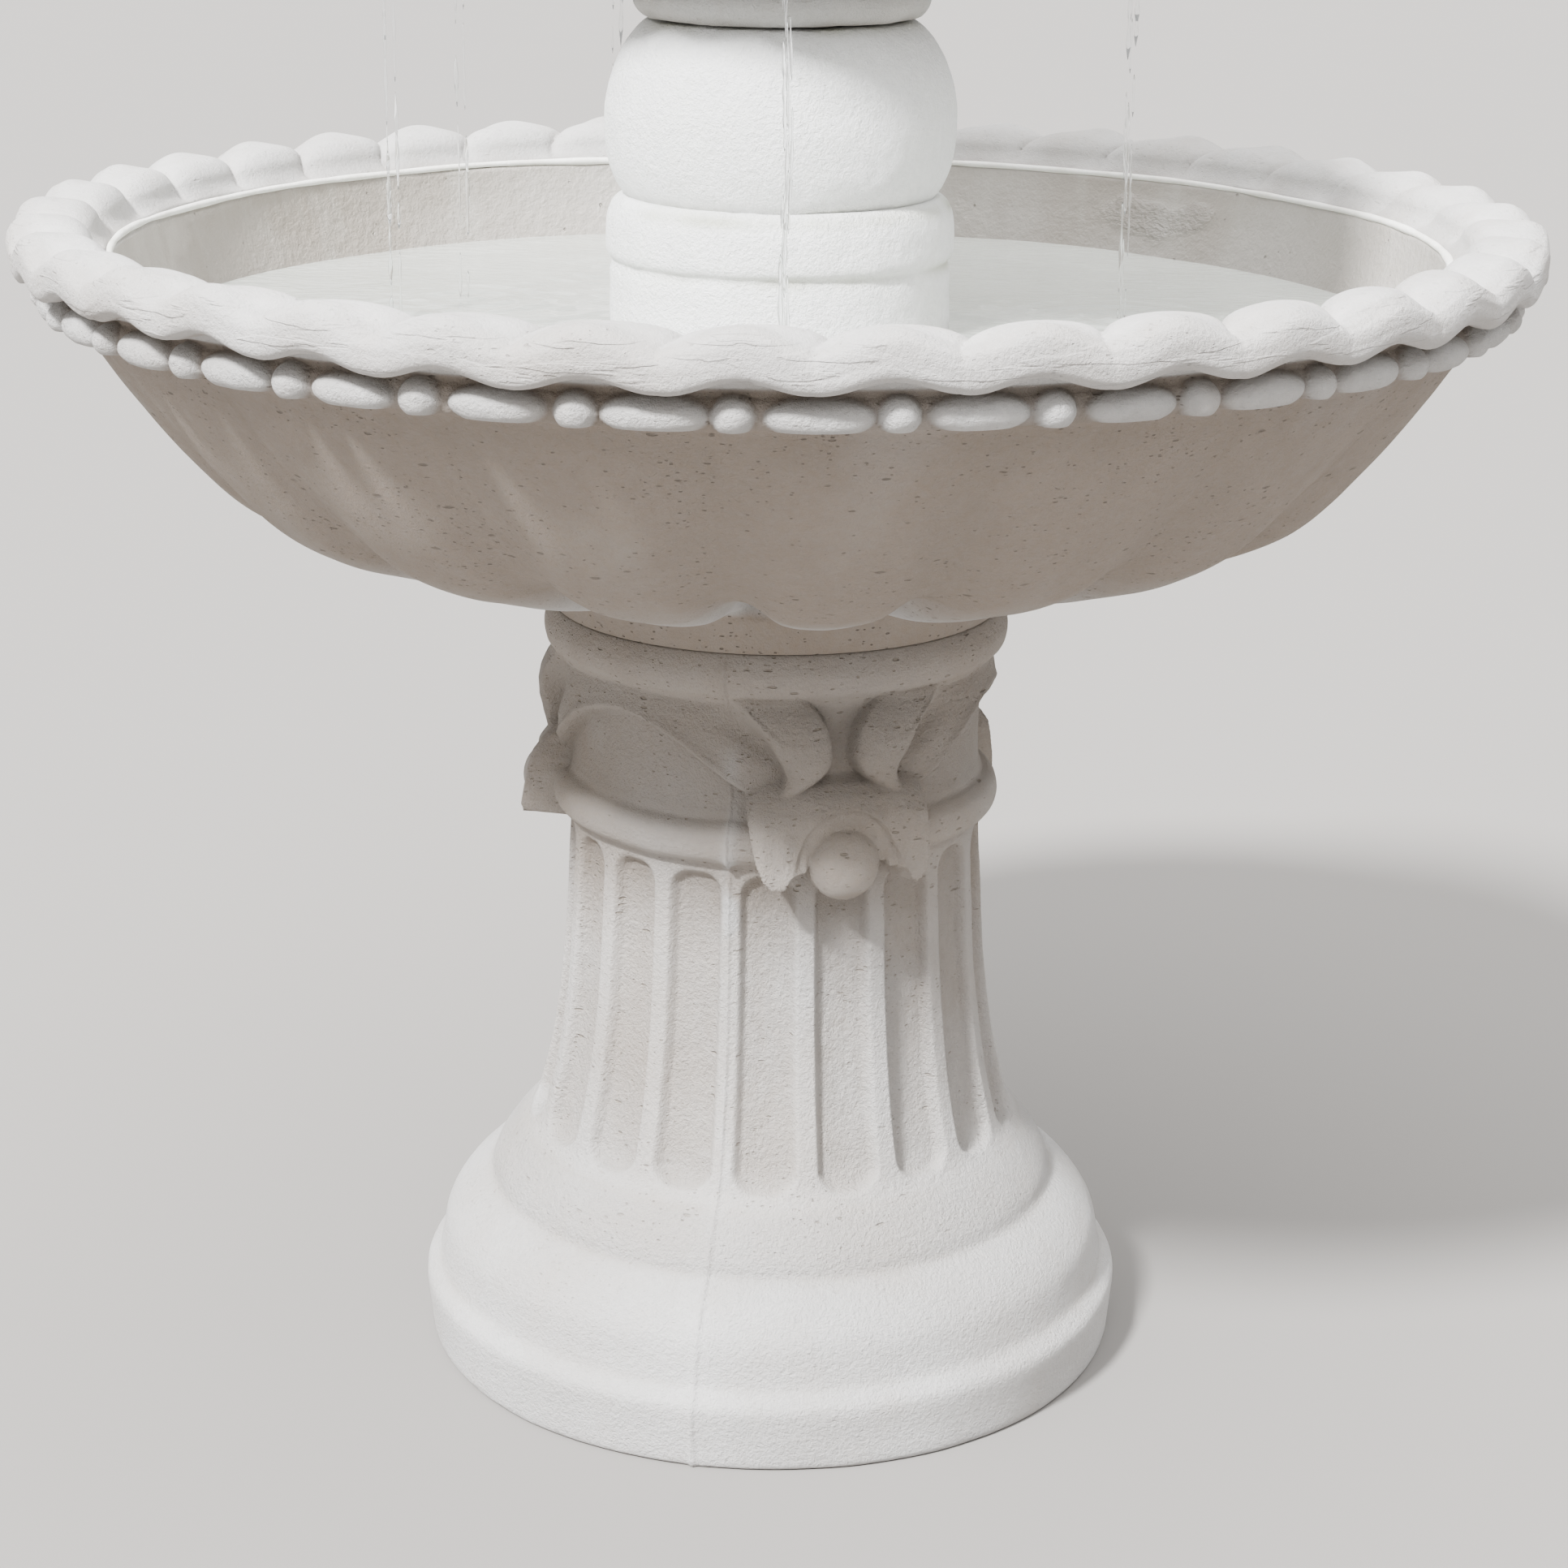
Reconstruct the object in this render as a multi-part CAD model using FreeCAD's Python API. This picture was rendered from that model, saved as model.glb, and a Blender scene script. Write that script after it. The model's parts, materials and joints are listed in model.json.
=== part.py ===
import FreeCAD, Part
import math
import os

# Two-tier garden fountain in cast stone, millimetres, +Z up.
# Origin: centre of the underside of the pedestal, which stands on the ground.
# The front of the fountain faces -Y.  Angles "phi" start at -Y and grow towards +X.

V = FreeCAD.Vector
UP = V(0, 0, 1)

# ---------------------------------------------------------------- driving dimensions
BOWL_RADIUS = 430.0          # outermost radius of the large bowl's rope rim
UPPER_SCALE = 0.52           # small upper bowl, as a fraction of the large one
PEDESTAL_TOP = 459.0         # seat on which the large bowl's foot rests
GASKET_THICKNESS = 2.5       # foam ring between pedestal and bowl
BODY_GAP = 0.3               # air between castings that only rest on each other
JOINT_GAP = 0.2              # bonding line between two pieces of one assembly

PLINTH_RADIUS = 210.0
COLUMN_RADIUS = 122.0
FLUTE_COUNT = 18
FLUTE_DEPTH = 4.5
FLUTE_WIDTH = 28.0
FLUTE_PHI = -1.5             # degrees, middle of one of the flutes
FLUTE_BOTTOM = 143.0
FLUTE_TOP = 330.0
CHANNEL_RADIUS = 52.0        # hole down the middle of the pedestal
CORD_GROOVE_WIDTH = 26.0     # groove under the plinth, from the channel to the back
CORD_GROOVE_HEIGHT = 19.0
PENDANT_COUNT = 3
PENDANT_PHI = 16.8           # degrees, direction of the first ball pendant
PENDANT_BALL_RADIUS = 20.0
PENDANT_BALL_HEIGHT = 341.0
PENDANT_CLOTH_FACE = 144.0   # distance of the cloth's flat face from the axis
LOBE_ANGLE = 12.0            # degrees from the pendant's middle to either lobe
SWAG_RADIUS = 13.0           # half thickness of the garlands between the pendants
SWAG_PATH_RADIUS = 119.0
SWAG_END_HEIGHT = 392.0
SWAG_RISE = 38.0             # how much higher a garland is in its middle
SWAG_END_ANGLE = 24.0        # degrees from a pendant's middle to a garland's end

GADROON_COUNT = 18           # lobes under a bowl
GADROON_PHI = -4.5           # one of the valleys between the lobes
RIM_LOBES = 38               # lobes of the rope rim
RIM_PHI = -2.9               # one lobe's crest
RIM_TWIST = 28.0             # degrees between the creases and the radial direction
RIM_NOTCH_RADIUS = 34.0
BEAD_COUNT = 34              # pairs of one ball and one long bead
BEAD_PHI = -2.8              # one of the balls
BEAD_RING_RADIUS = 405.0
BEAD_HEIGHT = 652.5
BALL_RADIUS = 10.0
LONG_BEAD_RADIUS = 8.5
LONG_BEAD_SHARE = 0.36       # straight part of a long bead, as a share of the pitch

FLOOR_HEIGHT = 522.0         # floor inside the large bowl
LINER_THICKNESS = 6.0
COVER_RADIUS = 96.8          # pump cover, the lowest post piece
COVER_WALL = 10.0
COVER_TOP = 694.5
BULB_RADIUS = 99.3
BULB_TOP = 796.0
BULB_CHANNEL_RADIUS = 24.0   # hole through the ball for the hose
UPPER_FOOT_HEIGHT = 832.0    # underside of the upper bowl proper
FINIAL_HEIGHT = 178.0
HOSE_RADIUS = 8.0
HOSE_BORE = 6.2
HOSE_TOP = 975.0
DRAIN_PHI = 150.0            # drain hole, behind the post to the right
DRAIN_DISTANCE = 168.0
CORD_HOLE_X = 42.0           # cord hole in the bowl floor, beside the pump
PUMP_AXIS_HEIGHT = 556.0     # pump shaft above the ground
PUMP_BASE = FLOOR_HEIGHT + 8.0
MOTOR_HALF_WIDTH = 26.0
MOTOR_FRONT = 10.0           # y of the motor block's face towards the volute
MOTOR_REAR = 60.0
CORD_AXIS_HEIGHT = FLOOR_HEIGHT + 44.0
VOLUTE_RADIUS = 24.0
IMPELLER_CHAMBER_RADIUS = 18.0
IMPELLER_BLADES = 6
INTAKE_SLOTS = 8
LINER_EDGE = 668.0           # top edge of the liner, where the sealant runs
SPIGOT_RADIUS = 69.5         # locating ring under the large bowl's foot
SPIGOT_BOTTOM = 448.0
UPPER_SPIGOT_RADIUS = 44.0
COVER_SOCKET_RADIUS = 62.0
INLET_COUNT = 4
DRAIN_RADIUS = 12.0
CORD_HOLE_RADIUS = 9.0
CORD_RADIUS = 3.6
HOSE_HOLE_RADIUS = 14.0
NOZZLE_RADIUS = 7.0
SHAFT_RADIUS = 1.5


# ---------------------------------------------------------------- helpers
def polar(radius, phi_deg, z=0.0):
    phi = math.radians(phi_deg)
    return V(radius * math.sin(phi), -radius * math.cos(phi), z)


class Outline:
    """Half section of a turned solid, drawn in the XZ plane as (radius, height)."""

    def __init__(self, r, z):
        self.here = V(r, 0, z)
        self.start = self.here
        self.edges = []

    def line(self, *points):
        for r, z in points:
            there = V(r, 0, z)
            self.edges.append(Part.LineSegment(self.here, there).toShape())
            self.here = there
        return self

    def arc(self, via, end):
        there = V(end[0], 0, end[1])
        self.edges.append(Part.Arc(self.here, V(via[0], 0, via[1]), there).toShape())
        self.here = there
        return self

    def curve(self, *points):
        places = [self.here] + [V(r, 0, z) for r, z in points]
        spline = Part.BSplineCurve()
        spline.interpolate(places)
        self.edges.append(spline.toShape())
        self.here = places[-1]
        return self

    def turned(self):
        if self.here.distanceToPoint(self.start) > 1e-6:
            self.edges.append(Part.LineSegment(self.here, self.start).toShape())
        face = Part.Face(Part.Wire(self.edges))
        return face.revolve(V(0, 0, 0), UP, 360)


def solid_of(shape):
    """The single solid inside a shape, made positive."""
    solids = shape.Solids
    if len(solids) != 1:
        raise ValueError("expected one solid, got %d" % len(solids))
    solid = solids[0]
    if solid.Volume < 0:
        solid.reverse()
    return solid


def group_of(solids):
    return Part.makeCompound([solid_of(s) for s in solids])


def cylinder(radius, z_low, z_high, x=0.0, y=0.0):
    return Part.makeCylinder(radius, z_high - z_low, V(x, y, z_low), UP)


def tube(outer, inner, z_low, z_high, x=0.0, y=0.0):
    return cylinder(outer, z_low, z_high, x, y).cut(cylinder(inner, z_low - 1, z_high + 1, x, y))


def rod_y(radius, y_low, y_high, x=0.0, z=PUMP_AXIS_HEIGHT):
    return Part.makeCylinder(radius, y_high - y_low, V(x, y_low, z), V(0, 1, 0))


def rounded_box(low, high, radius):
    box = Part.makeBox(high[0] - low[0], high[1] - low[1], high[2] - low[2], V(*low))
    return box.makeFillet(radius, box.Edges)


def spun(shape, phi_deg):
    """A copy of a shape turned about the vertical axis from -Y to the angle phi."""
    copy = shape.copy()
    copy.rotate(V(0, 0, 0), UP, phi_deg)
    return copy


def save(name, shape):
    if not shape.isValid():
        raise ValueError(name + " is not a valid shape")
    shape.exportStep("parts/" + name + ".step")


# ---------------------------------------------------------------- pedestal
COLUMN_FLARE = [(144.5, 146), (136, 180), (130.5, 212), (126.5, 250), (123.7, 298), (COLUMN_RADIUS, 336)]


def pedestal_profile():
    """Outside of the pedestal from the ground up to its top edge."""
    outline = Outline(PLINTH_RADIUS - 10, 0)
    outline.line((PLINTH_RADIUS, 0), (PLINTH_RADIUS + 4.5, 40), (204.5, 49))
    outline.arc((199.5, 77), (172, 102.5))
    outline.arc((166, 118), (152.5, 134.4))
    outline.curve(*COLUMN_FLARE)
    outline.line((127.6, 338))
    outline.arc((133, 348.5), (127, 360))
    outline.line((122, 364))
    outline.curve((120.5, 395), (124, 425), (129.6, 435.5))
    outline.arc((136.6, 448), (132.5, PEDESTAL_TOP))
    return outline


def column_flutes():
    """Shallow channels with rounded ends, all round the column."""
    deep = Outline(160 - FLUTE_DEPTH, 130)
    deep.curve(*[(r - FLUTE_DEPTH, z) for r, z in COLUMN_FLARE])
    deep.line((175, 336), (175, 130))
    band = deep.turned()
    half = FLUTE_WIDTH / 2.0
    low, high = FLUTE_BOTTOM + half, FLUTE_TOP - half
    slot = Part.makeBox(FLUTE_WIDTH, 120, high - low, V(-half, -180, low))
    for end in (low, high):
        slot = slot.fuse(Part.makeCylinder(half, 120, V(0, -180, end), V(0, 1, 0)))
    slots = [spun(slot, FLUTE_PHI + 360.0 / FLUTE_COUNT * i) for i in range(FLUTE_COUNT)]
    return [band.common(one) for one in slots]


def pendant_ornament():
    """Ball in front of a flared cloth with a round lobe above either side, built facing -Y."""
    z = PENDANT_BALL_HEIGHT
    ball = Part.makeSphere(PENDANT_BALL_RADIUS, V(0, -136, z))
    right_hem = [(18, 25), (28, 9), (34, -6), (41, -11), (48, -7), (54, 6), (57, 36), (40, 46)]
    left_hem = [(-x, dz) for x, dz in reversed(right_hem)]
    corners = [V(x, -PENDANT_CLOTH_FACE, z + dz) for x, dz in [(0, 31)] + right_hem + left_hem]
    cloth = Part.Face(Part.makePolygon(corners + corners[:1])).extrude(V(0, 30, 0))
    lobes = []
    for side in (-1, 1):
        for distance, rise, size in ((118, 56, 22), (120, 71, 26)):
            lobes.append(Part.makeSphere(size, polar(distance, side * LOBE_ANGLE, z + rise)))
    return [ball, cloth] + lobes


def swag():
    """Rounded garland that arches from one pendant to the next, starting at -Y."""
    span = 360.0 / PENDANT_COUNT - 2 * SWAG_END_ANGLE
    steps = 8
    points = []
    for i in range(steps + 1):
        t = i / steps
        height = SWAG_END_HEIGHT + SWAG_RISE * math.sin(math.pi * t)
        points.append(polar(SWAG_PATH_RADIUS, SWAG_END_ANGLE + span * t, height))
    path = Part.BSplineCurve()
    path.interpolate(points)
    circle = Part.Circle(points[0], path.tangent(path.FirstParameter)[0], SWAG_RADIUS)
    return Part.Wire(path.toShape()).makePipeShell([Part.Wire(circle.toShape())], True, False)


def make_pedestal():
    """Thick casting with a seat for the bowl's locating ring and a channel for the pump cord."""
    outline = pedestal_profile()
    seat = SPIGOT_RADIUS + 2.5
    outline.line((seat, PEDESTAL_TOP), (seat, SPIGOT_BOTTOM - 2), (CHANNEL_RADIUS, SPIGOT_BOTTOM - 2))
    outline.line((CHANNEL_RADIUS, 0))
    casting = outline.turned()
    ornaments = []
    for i in range(PENDANT_COUNT):
        turn = PENDANT_PHI + 360.0 / PENDANT_COUNT * i
        ornaments += [spun(one, turn) for one in pendant_ornament()]
        ornaments.append(spun(swag(), turn))
    casting = casting.cut(column_flutes()).fuse(ornaments)
    groove = Part.makeBox(CORD_GROOVE_WIDTH, 250, CORD_GROOVE_HEIGHT + 1, V(-CORD_GROOVE_WIDTH / 2, 0, -1))
    return solid_of(casting.cut(groove))


# ---------------------------------------------------------------- bowls
UNDERSIDE = [(150, 488.5), (195, 495), (225, 502), (255, 510.5), (285, 520), (315, 538),
             (345, 570), (370, 602), (388, 628), (396, 645)]
INNER_WALL = [(200, 525), (240, 532), (275, 542), (305, 556), (332, 580), (353, 608), (367, 640), (374.5, 668)]
FOOT_RADIUS = 131.0
FOOT_BOTTOM = PEDESTAL_TOP + GASKET_THICKNESS + BODY_GAP
RIM_TOP = 691.0


def scaled(points, k, lift):
    return [(r * k, z * k + lift) for r, z in points]


def gadroon_grooves(k, lift):
    """Valleys between the lobes under a bowl, deepest near the foot and fading upwards."""
    radius = 15.0
    depths = [8, 9, 9, 9, 8.5, 7, 5, 2.5, 0.5]
    places = []
    for i, depth in enumerate(depths):
        r0, z0 = UNDERSIDE[max(i - 1, 0)]
        r1, z1 = UNDERSIDE[i + 1]
        r, z = UNDERSIDE[i]
        length = math.hypot(r1 - r0, z1 - z0)
        out_r, out_z = (z1 - z0) / length, -(r1 - r0) / length
        away = radius - depth
        places.append(((r + out_r * away) * k, (z + out_z * away) * k + lift))
    path = Part.BSplineCurve()
    path.interpolate([V(0, -r, z) for r, z in places])
    circle = Part.Circle(V(0, -places[0][0], places[0][1]), path.tangent(path.FirstParameter)[0], radius * k)
    groove = Part.Wire(path.toShape()).makePipeShell([Part.Wire(circle.toShape())], True, False)
    return [spun(groove, GADROON_PHI + 360.0 / GADROON_COUNT * i) for i in range(GADROON_COUNT)]


def bead_string(k, lift):
    """Bead and reel: a ball, then a long bead, round and round under the rim."""
    pieces = []
    ring, height = BEAD_RING_RADIUS * k, BEAD_HEIGHT * k + lift
    pitch = 360.0 / BEAD_COUNT
    for i in range(BEAD_COUNT):
        phi = BEAD_PHI + pitch * i
        pieces.append(Part.makeSphere(BALL_RADIUS * k, polar(ring, phi, height)))
        start = polar(ring, phi + pitch * (0.5 - LONG_BEAD_SHARE / 2), height)
        end = polar(ring, phi + pitch * (0.5 + LONG_BEAD_SHARE / 2), height)
        pieces.append(Part.makeCylinder(LONG_BEAD_RADIUS * k, start.distanceToPoint(end), start, end - start))
        pieces.append(Part.makeSphere(LONG_BEAD_RADIUS * k, start))
        pieces.append(Part.makeSphere(LONG_BEAD_RADIUS * k, end))
    return pieces


def rim_notches(k, lift):
    """Twisted creases across the top of the rim that give it its rope look."""
    notch_radius = RIM_NOTCH_RADIUS * k
    cutters = []
    pitch = 360.0 / RIM_LOBES
    for i in range(RIM_LOBES):
        cutter = Part.makeCylinder(notch_radius, 70 * k, V(0, -35 * k, 0), V(0, 1, 0))
        cutter.rotate(V(0, 0, 0), UP, RIM_TWIST)
        cutter.translate(V(0, -406 * k, (RIM_TOP - 4.5) * k + lift + notch_radius))
        cutters.append(spun(cutter, RIM_PHI + pitch * (i + 0.5)))
    return cutters


def bowl_outside(k, lift):
    """Outside of a bowl from the bottom edge of its foot, up and over the rim."""
    path = Outline(FOOT_RADIUS * k, FOOT_BOTTOM * k + lift)
    path.line((FOOT_RADIUS * k, 486 * k + lift))
    path.curve(*scaled(UNDERSIDE, k, lift))
    path.line(*scaled([(404, 646), (404, 660), (412, 663)], k, lift))
    rim = [(424, 666), (BOWL_RADIUS, 676), (427, 685), (414, RIM_TOP), (398, 690.5), (386, 684), (380, 671.5)]
    path.curve(*scaled(rim, k, lift))
    return path


def ornamented(bowl, k, lift):
    bowl = bowl.fuse(bead_string(k, lift))
    bowl = bowl.cut(gadroon_grooves(k, lift))
    return bowl.cut(rim_notches(k, lift))


def floor_hole(radius, phi_deg, distance):
    place = polar(distance, phi_deg)
    return cylinder(radius, 440, 540, place.x, place.y)


def make_lower_bowl():
    """Outer casting of the large bowl with foot, spigot, gadroons, beads and rope rim."""
    path = bowl_outside(1.0, 0.0)
    path.line((381, LINER_EDGE))
    path.curve(*[(r + LINER_THICKNESS + JOINT_GAP, z - 3.5) for r, z in reversed(INNER_WALL[3:7])],
               (240, INNER_WALL[1][1] - LINER_THICKNESS - JOINT_GAP), (200, 525 - LINER_THICKNESS - JOINT_GAP),
               (150, FLOOR_HEIGHT - LINER_THICKNESS - JOINT_GAP))
    path.line((0, FLOOR_HEIGHT - LINER_THICKNESS - JOINT_GAP), (0, 488), (52, 488), (56, 484))
    path.line((56, SPIGOT_BOTTOM), (SPIGOT_RADIUS, SPIGOT_BOTTOM), (SPIGOT_RADIUS, FOOT_BOTTOM))
    bowl = ornamented(path.turned(), 1.0, 0.0)
    bowl = bowl.cut(floor_hole(DRAIN_RADIUS, DRAIN_PHI, DRAIN_DISTANCE))
    return solid_of(bowl.cut(floor_hole(CORD_HOLE_RADIUS, 90, CORD_HOLE_X)))


def make_bowl_liner():
    """Smooth basin bonded into the outer casting."""
    outline = Outline(0, FLOOR_HEIGHT).line((150, FLOOR_HEIGHT))
    outline.curve(*INNER_WALL)
    outline.line((380.6, LINER_EDGE - 1))
    outline.curve(*[(r + LINER_THICKNESS, z - 3.5) for r, z in reversed(INNER_WALL[3:7])],
                  (240, INNER_WALL[1][1] - LINER_THICKNESS), (200, 525 - LINER_THICKNESS),
                  (150, FLOOR_HEIGHT - LINER_THICKNESS))
    outline.line((0, FLOOR_HEIGHT - LINER_THICKNESS))
    liner = outline.turned().cut(floor_hole(DRAIN_RADIUS, DRAIN_PHI, DRAIN_DISTANCE))
    return solid_of(liner.cut(floor_hole(CORD_HOLE_RADIUS, 90, CORD_HOLE_X)))


def make_liner_seal():
    """Bead of white sealant along the liner's top edge."""
    return solid_of(Part.makeTorus(376.3, 2.6, V(0, 0, LINER_EDGE + 2.9), UP))


def make_drain_plug():
    """Rubber stopper with a pull ring, seated in the drain hole."""
    place = polar(DRAIN_DISTANCE, DRAIN_PHI)
    body = cylinder(DRAIN_RADIUS - 0.05, 492, FLOOR_HEIGHT + 4, place.x, place.y)
    flange = cylinder(DRAIN_RADIUS + 2.5, FLOOR_HEIGHT + 2.4, FLOOR_HEIGHT + 5.4, place.x, place.y)
    ring = Part.makeTorus(8, 2, V(place.x, place.y, FLOOR_HEIGHT + 13.5), V(0, 1, 0))
    return solid_of(body.fuse([flange, ring]))


def make_cord_grommet():
    """Flanged rubber sleeve that seals the pump cord's way out through the bowl floor."""
    x = CORD_HOLE_X
    sleeve = cylinder(CORD_HOLE_RADIUS - JOINT_GAP, 492, FLOOR_HEIGHT + 1, x)
    flange = cylinder(CORD_HOLE_RADIUS + 4, FLOOR_HEIGHT + 0.1, FLOOR_HEIGHT + 4, x)
    return solid_of(sleeve.fuse(flange).cut(cylinder(CORD_RADIUS, 480, 540, x)))


def make_seat_gasket():
    return solid_of(tube(122, 76, PEDESTAL_TOP, PEDESTAL_TOP + GASKET_THICKNESS))


def make_upper_bowl():
    """Small bowl in one casting: foot ring on the post, neck, lobed basin and rope rim."""
    k = UPPER_SCALE
    lift = UPPER_FOOT_HEIGHT - FOOT_BOTTOM * k
    path = bowl_outside(k, lift)
    path.curve(*scaled([(r, z) for r, z in reversed(INNER_WALL[:7])] + [(150, FLOOR_HEIGHT)], k, lift))
    floor = FLOOR_HEIGHT * k + lift
    path.line((HOSE_HOLE_RADIUS, floor), (HOSE_HOLE_RADIUS, 814), (UPPER_SPIGOT_RADIUS - 8, 806))
    path.line((UPPER_SPIGOT_RADIUS - 8, BULB_TOP - 8), (UPPER_SPIGOT_RADIUS, BULB_TOP - 8))
    path.line((UPPER_SPIGOT_RADIUS, BULB_TOP + BODY_GAP), (75.5, BULB_TOP + BODY_GAP))
    path.arc((84, 808), (74, 820))
    path.arc((66, 824), (FOOT_RADIUS * k - 4, UPPER_FOOT_HEIGHT))
    return solid_of(ornamented(path.turned(), k, lift))


def make_hose_grommet():
    """Rubber sleeve in the upper bowl's floor, a sliding fit on the hose."""
    floor = upper_floor()
    sleeve = tube(HOSE_HOLE_RADIUS - JOINT_GAP, HOSE_RADIUS + 0.08, 818, floor + 1)
    return solid_of(sleeve.fuse(tube(HOSE_HOLE_RADIUS + 4, HOSE_RADIUS + 0.08, floor + 0.1, floor + 3)))


def upper_floor():
    return FLOOR_HEIGHT * UPPER_SCALE + UPPER_FOOT_HEIGHT - FOOT_BOTTOM * UPPER_SCALE


# ---------------------------------------------------------------- post
def make_pump_cover():
    """Drum that stands on the bowl floor over the pump, with arched water inlets."""
    base = FLOOR_HEIGHT + BODY_GAP
    outline = Outline(COVER_RADIUS - COVER_WALL, base)
    outline.line((COVER_RADIUS, base), (COVER_RADIUS, 661), (95.5, 664))
    outline.arc((98.6, 668), (98.6, 676))
    outline.arc((97, 694), (88, 699))
    outline.line((85.5, COVER_TOP), (COVER_SOCKET_RADIUS, COVER_TOP), (COVER_SOCKET_RADIUS, COVER_TOP - 10))
    outline.arc((82, 678), (COVER_RADIUS - COVER_WALL, 664))
    drum = outline.turned()
    for i in range(INLET_COUNT):
        arch = Part.makeBox(28, 40, 14, V(-14, -115, base - 1))
        arch = arch.fuse(Part.makeCylinder(14, 40, V(0, -115, base + 13), V(0, 1, 0)))
        drum = drum.cut(spun(arch, 45 + 360.0 / INLET_COUNT * i))
    return solid_of(drum)


def make_post_bulb():
    """Ball of the post: a ring below fits the pump cover, a socket above takes the upper bowl."""
    low = COVER_TOP + BODY_GAP
    spigot = COVER_SOCKET_RADIUS - 1
    outline = Outline(84, low)
    outline.arc((BULB_RADIUS, 742), (75.6, BULB_TOP))
    outline.line((UPPER_SPIGOT_RADIUS + 1, BULB_TOP), (UPPER_SPIGOT_RADIUS + 1, BULB_TOP - 10))
    outline.line((BULB_CHANNEL_RADIUS, BULB_TOP - 10), (BULB_CHANNEL_RADIUS, low - 8), (spigot, low - 8))
    outline.line((spigot, low))
    return solid_of(outline.turned())


def make_finial():
    """Turned top piece with a bore for the hose and a seat for the nozzle."""
    base = upper_floor() + BODY_GAP
    outline = Outline(20, base)
    outline.line((44, base), (44, base + 9))
    outline.arc((43, base + 17), (34, base + 18))
    outline.curve((23, base + 34), (24, base + 48), (32, base + 56))
    outline.arc((46, base + 86), (30, base + 116))
    outline.line((36, base + 119))
    outline.arc((39, base + 124), (35, base + 128))
    outline.curve((24, base + 134), (22, base + 150), (15, base + FINIAL_HEIGHT - 4), (10, base + FINIAL_HEIGHT))
    outline.line((NOZZLE_RADIUS + 0.1, base + FINIAL_HEIGHT), (NOZZLE_RADIUS + 0.1, base + 130))
    outline.line((HOSE_RADIUS + 1, base + 126), (HOSE_RADIUS + 1, base + 4), (20, base + 4))
    return solid_of(outline.turned())


def make_spout_nozzle():
    """Short brass tube in the finial's tip from which the water wells up."""
    top = upper_floor() + BODY_GAP + FINIAL_HEIGHT
    return solid_of(tube(NOZZLE_RADIUS, NOZZLE_RADIUS - 1.5, top - 44, top + 4))


# ---------------------------------------------------------------- pump
def make_pump_motor_housing():
    """Sealed motor block with the rotor's tunnel, open towards the volute."""
    low = (-MOTOR_HALF_WIDTH, MOTOR_FRONT, PUMP_BASE)
    high = (MOTOR_HALF_WIDTH, MOTOR_REAR, PUMP_BASE + 50)
    block = rounded_box(low, high, 5)
    block = block.fuse(rod_y(9, MOTOR_REAR - 2, MOTOR_REAR + 8, 0, CORD_AXIS_HEIGHT))
    block = block.cut([rod_y(9.4, 5, 43.5), rod_y(6.05, 43, 50)])
    return solid_of(block.cut(rod_y(5.6, MOTOR_REAR - 0.5, MOTOR_REAR + 10, 0, CORD_AXIS_HEIGHT)))


def make_cord_gland():
    """Ribbed rubber sleeve in the motor block where the cord enters."""
    z = CORD_AXIS_HEIGHT
    plug = rod_y(5.5, MOTOR_REAR, 72, 0, z)
    for i in range(3):
        plug = plug.fuse(rod_y(7, 68.4 + 2.6 * i, 69.9 + 2.6 * i, 0, z))
    plug = plug.fuse(rod_y(5.5, 68, 76, 0, z))
    return solid_of(plug.cut(rod_y(CORD_RADIUS, 64, 80, 0, z)))


def make_pump_volute():
    """Impeller chamber with a round wall and a threaded boss for the outlet above."""
    shell = rod_y(VOLUTE_RADIUS, -10, MOTOR_FRONT - JOINT_GAP)
    foot = Part.makeBox(36, 19.8, 14, V(-18, -10, PUMP_BASE))
    boss = cylinder(9.6, PUMP_AXIS_HEIGHT + 15, PUMP_AXIS_HEIGHT + 30)
    shell = shell.fuse([foot, boss])
    inlet = rod_y(9, -12, -5).cut(rod_y(4.5, -13, -4))
    for i in range(3):
        spoke = Part.makeBox(2, 10, 12, V(-1, -13, PUMP_AXIS_HEIGHT))
        spoke.rotate(V(0, 0, PUMP_AXIS_HEIGHT), V(0, 1, 0), 120 * i)
        inlet = inlet.cut(spoke)
    groove = rod_y(22.1, 7.9, 10).cut(rod_y(19.9, 7, 11))
    chamber = rod_y(IMPELLER_CHAMBER_RADIUS, -7, MOTOR_FRONT)
    shell = shell.cut([chamber, inlet, groove, rod_y(SHAFT_RADIUS + 1.2, -8.6, -5)])
    return solid_of(shell.cut(cylinder(7, PUMP_AXIS_HEIGHT + 10, PUMP_AXIS_HEIGHT + 31)))


def make_volute_o_ring():
    return solid_of(Part.makeTorus(21, 0.95, V(0, 8.95, PUMP_AXIS_HEIGHT), V(0, 1, 0)))


def make_outlet_nipple():
    """Stepped tube that screws into the volute and carries the hose."""
    z = PUMP_AXIS_HEIGHT + 18
    nipple = cylinder(6.9, z, z + 12.2).fuse(cylinder(11, z + 12.2, z + 16))
    nipple = nipple.fuse(cylinder(HOSE_BORE - 0.05, z + 16, z + 40))
    return solid_of(nipple.cut(cylinder(4.8, z - 1, z + 41)))


def make_riser_hose():
    return solid_of(tube(HOSE_RADIUS, HOSE_BORE, PUMP_AXIS_HEIGHT + 34.2, HOSE_TOP))


def make_hose_clamp():
    """Spring band round the hose over the outlet nipple, with two finger tabs."""
    z = PUMP_AXIS_HEIGHT + 42
    band = tube(HOSE_RADIUS + 1.2, HOSE_RADIUS + 0.05, z, z + 8)
    tabs = [Part.makeBox(2, 9, 6, V(x, -HOSE_RADIUS - 9.5, z + 1)) for x in (-4, 2)]
    return solid_of(band.fuse(tabs))


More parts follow.
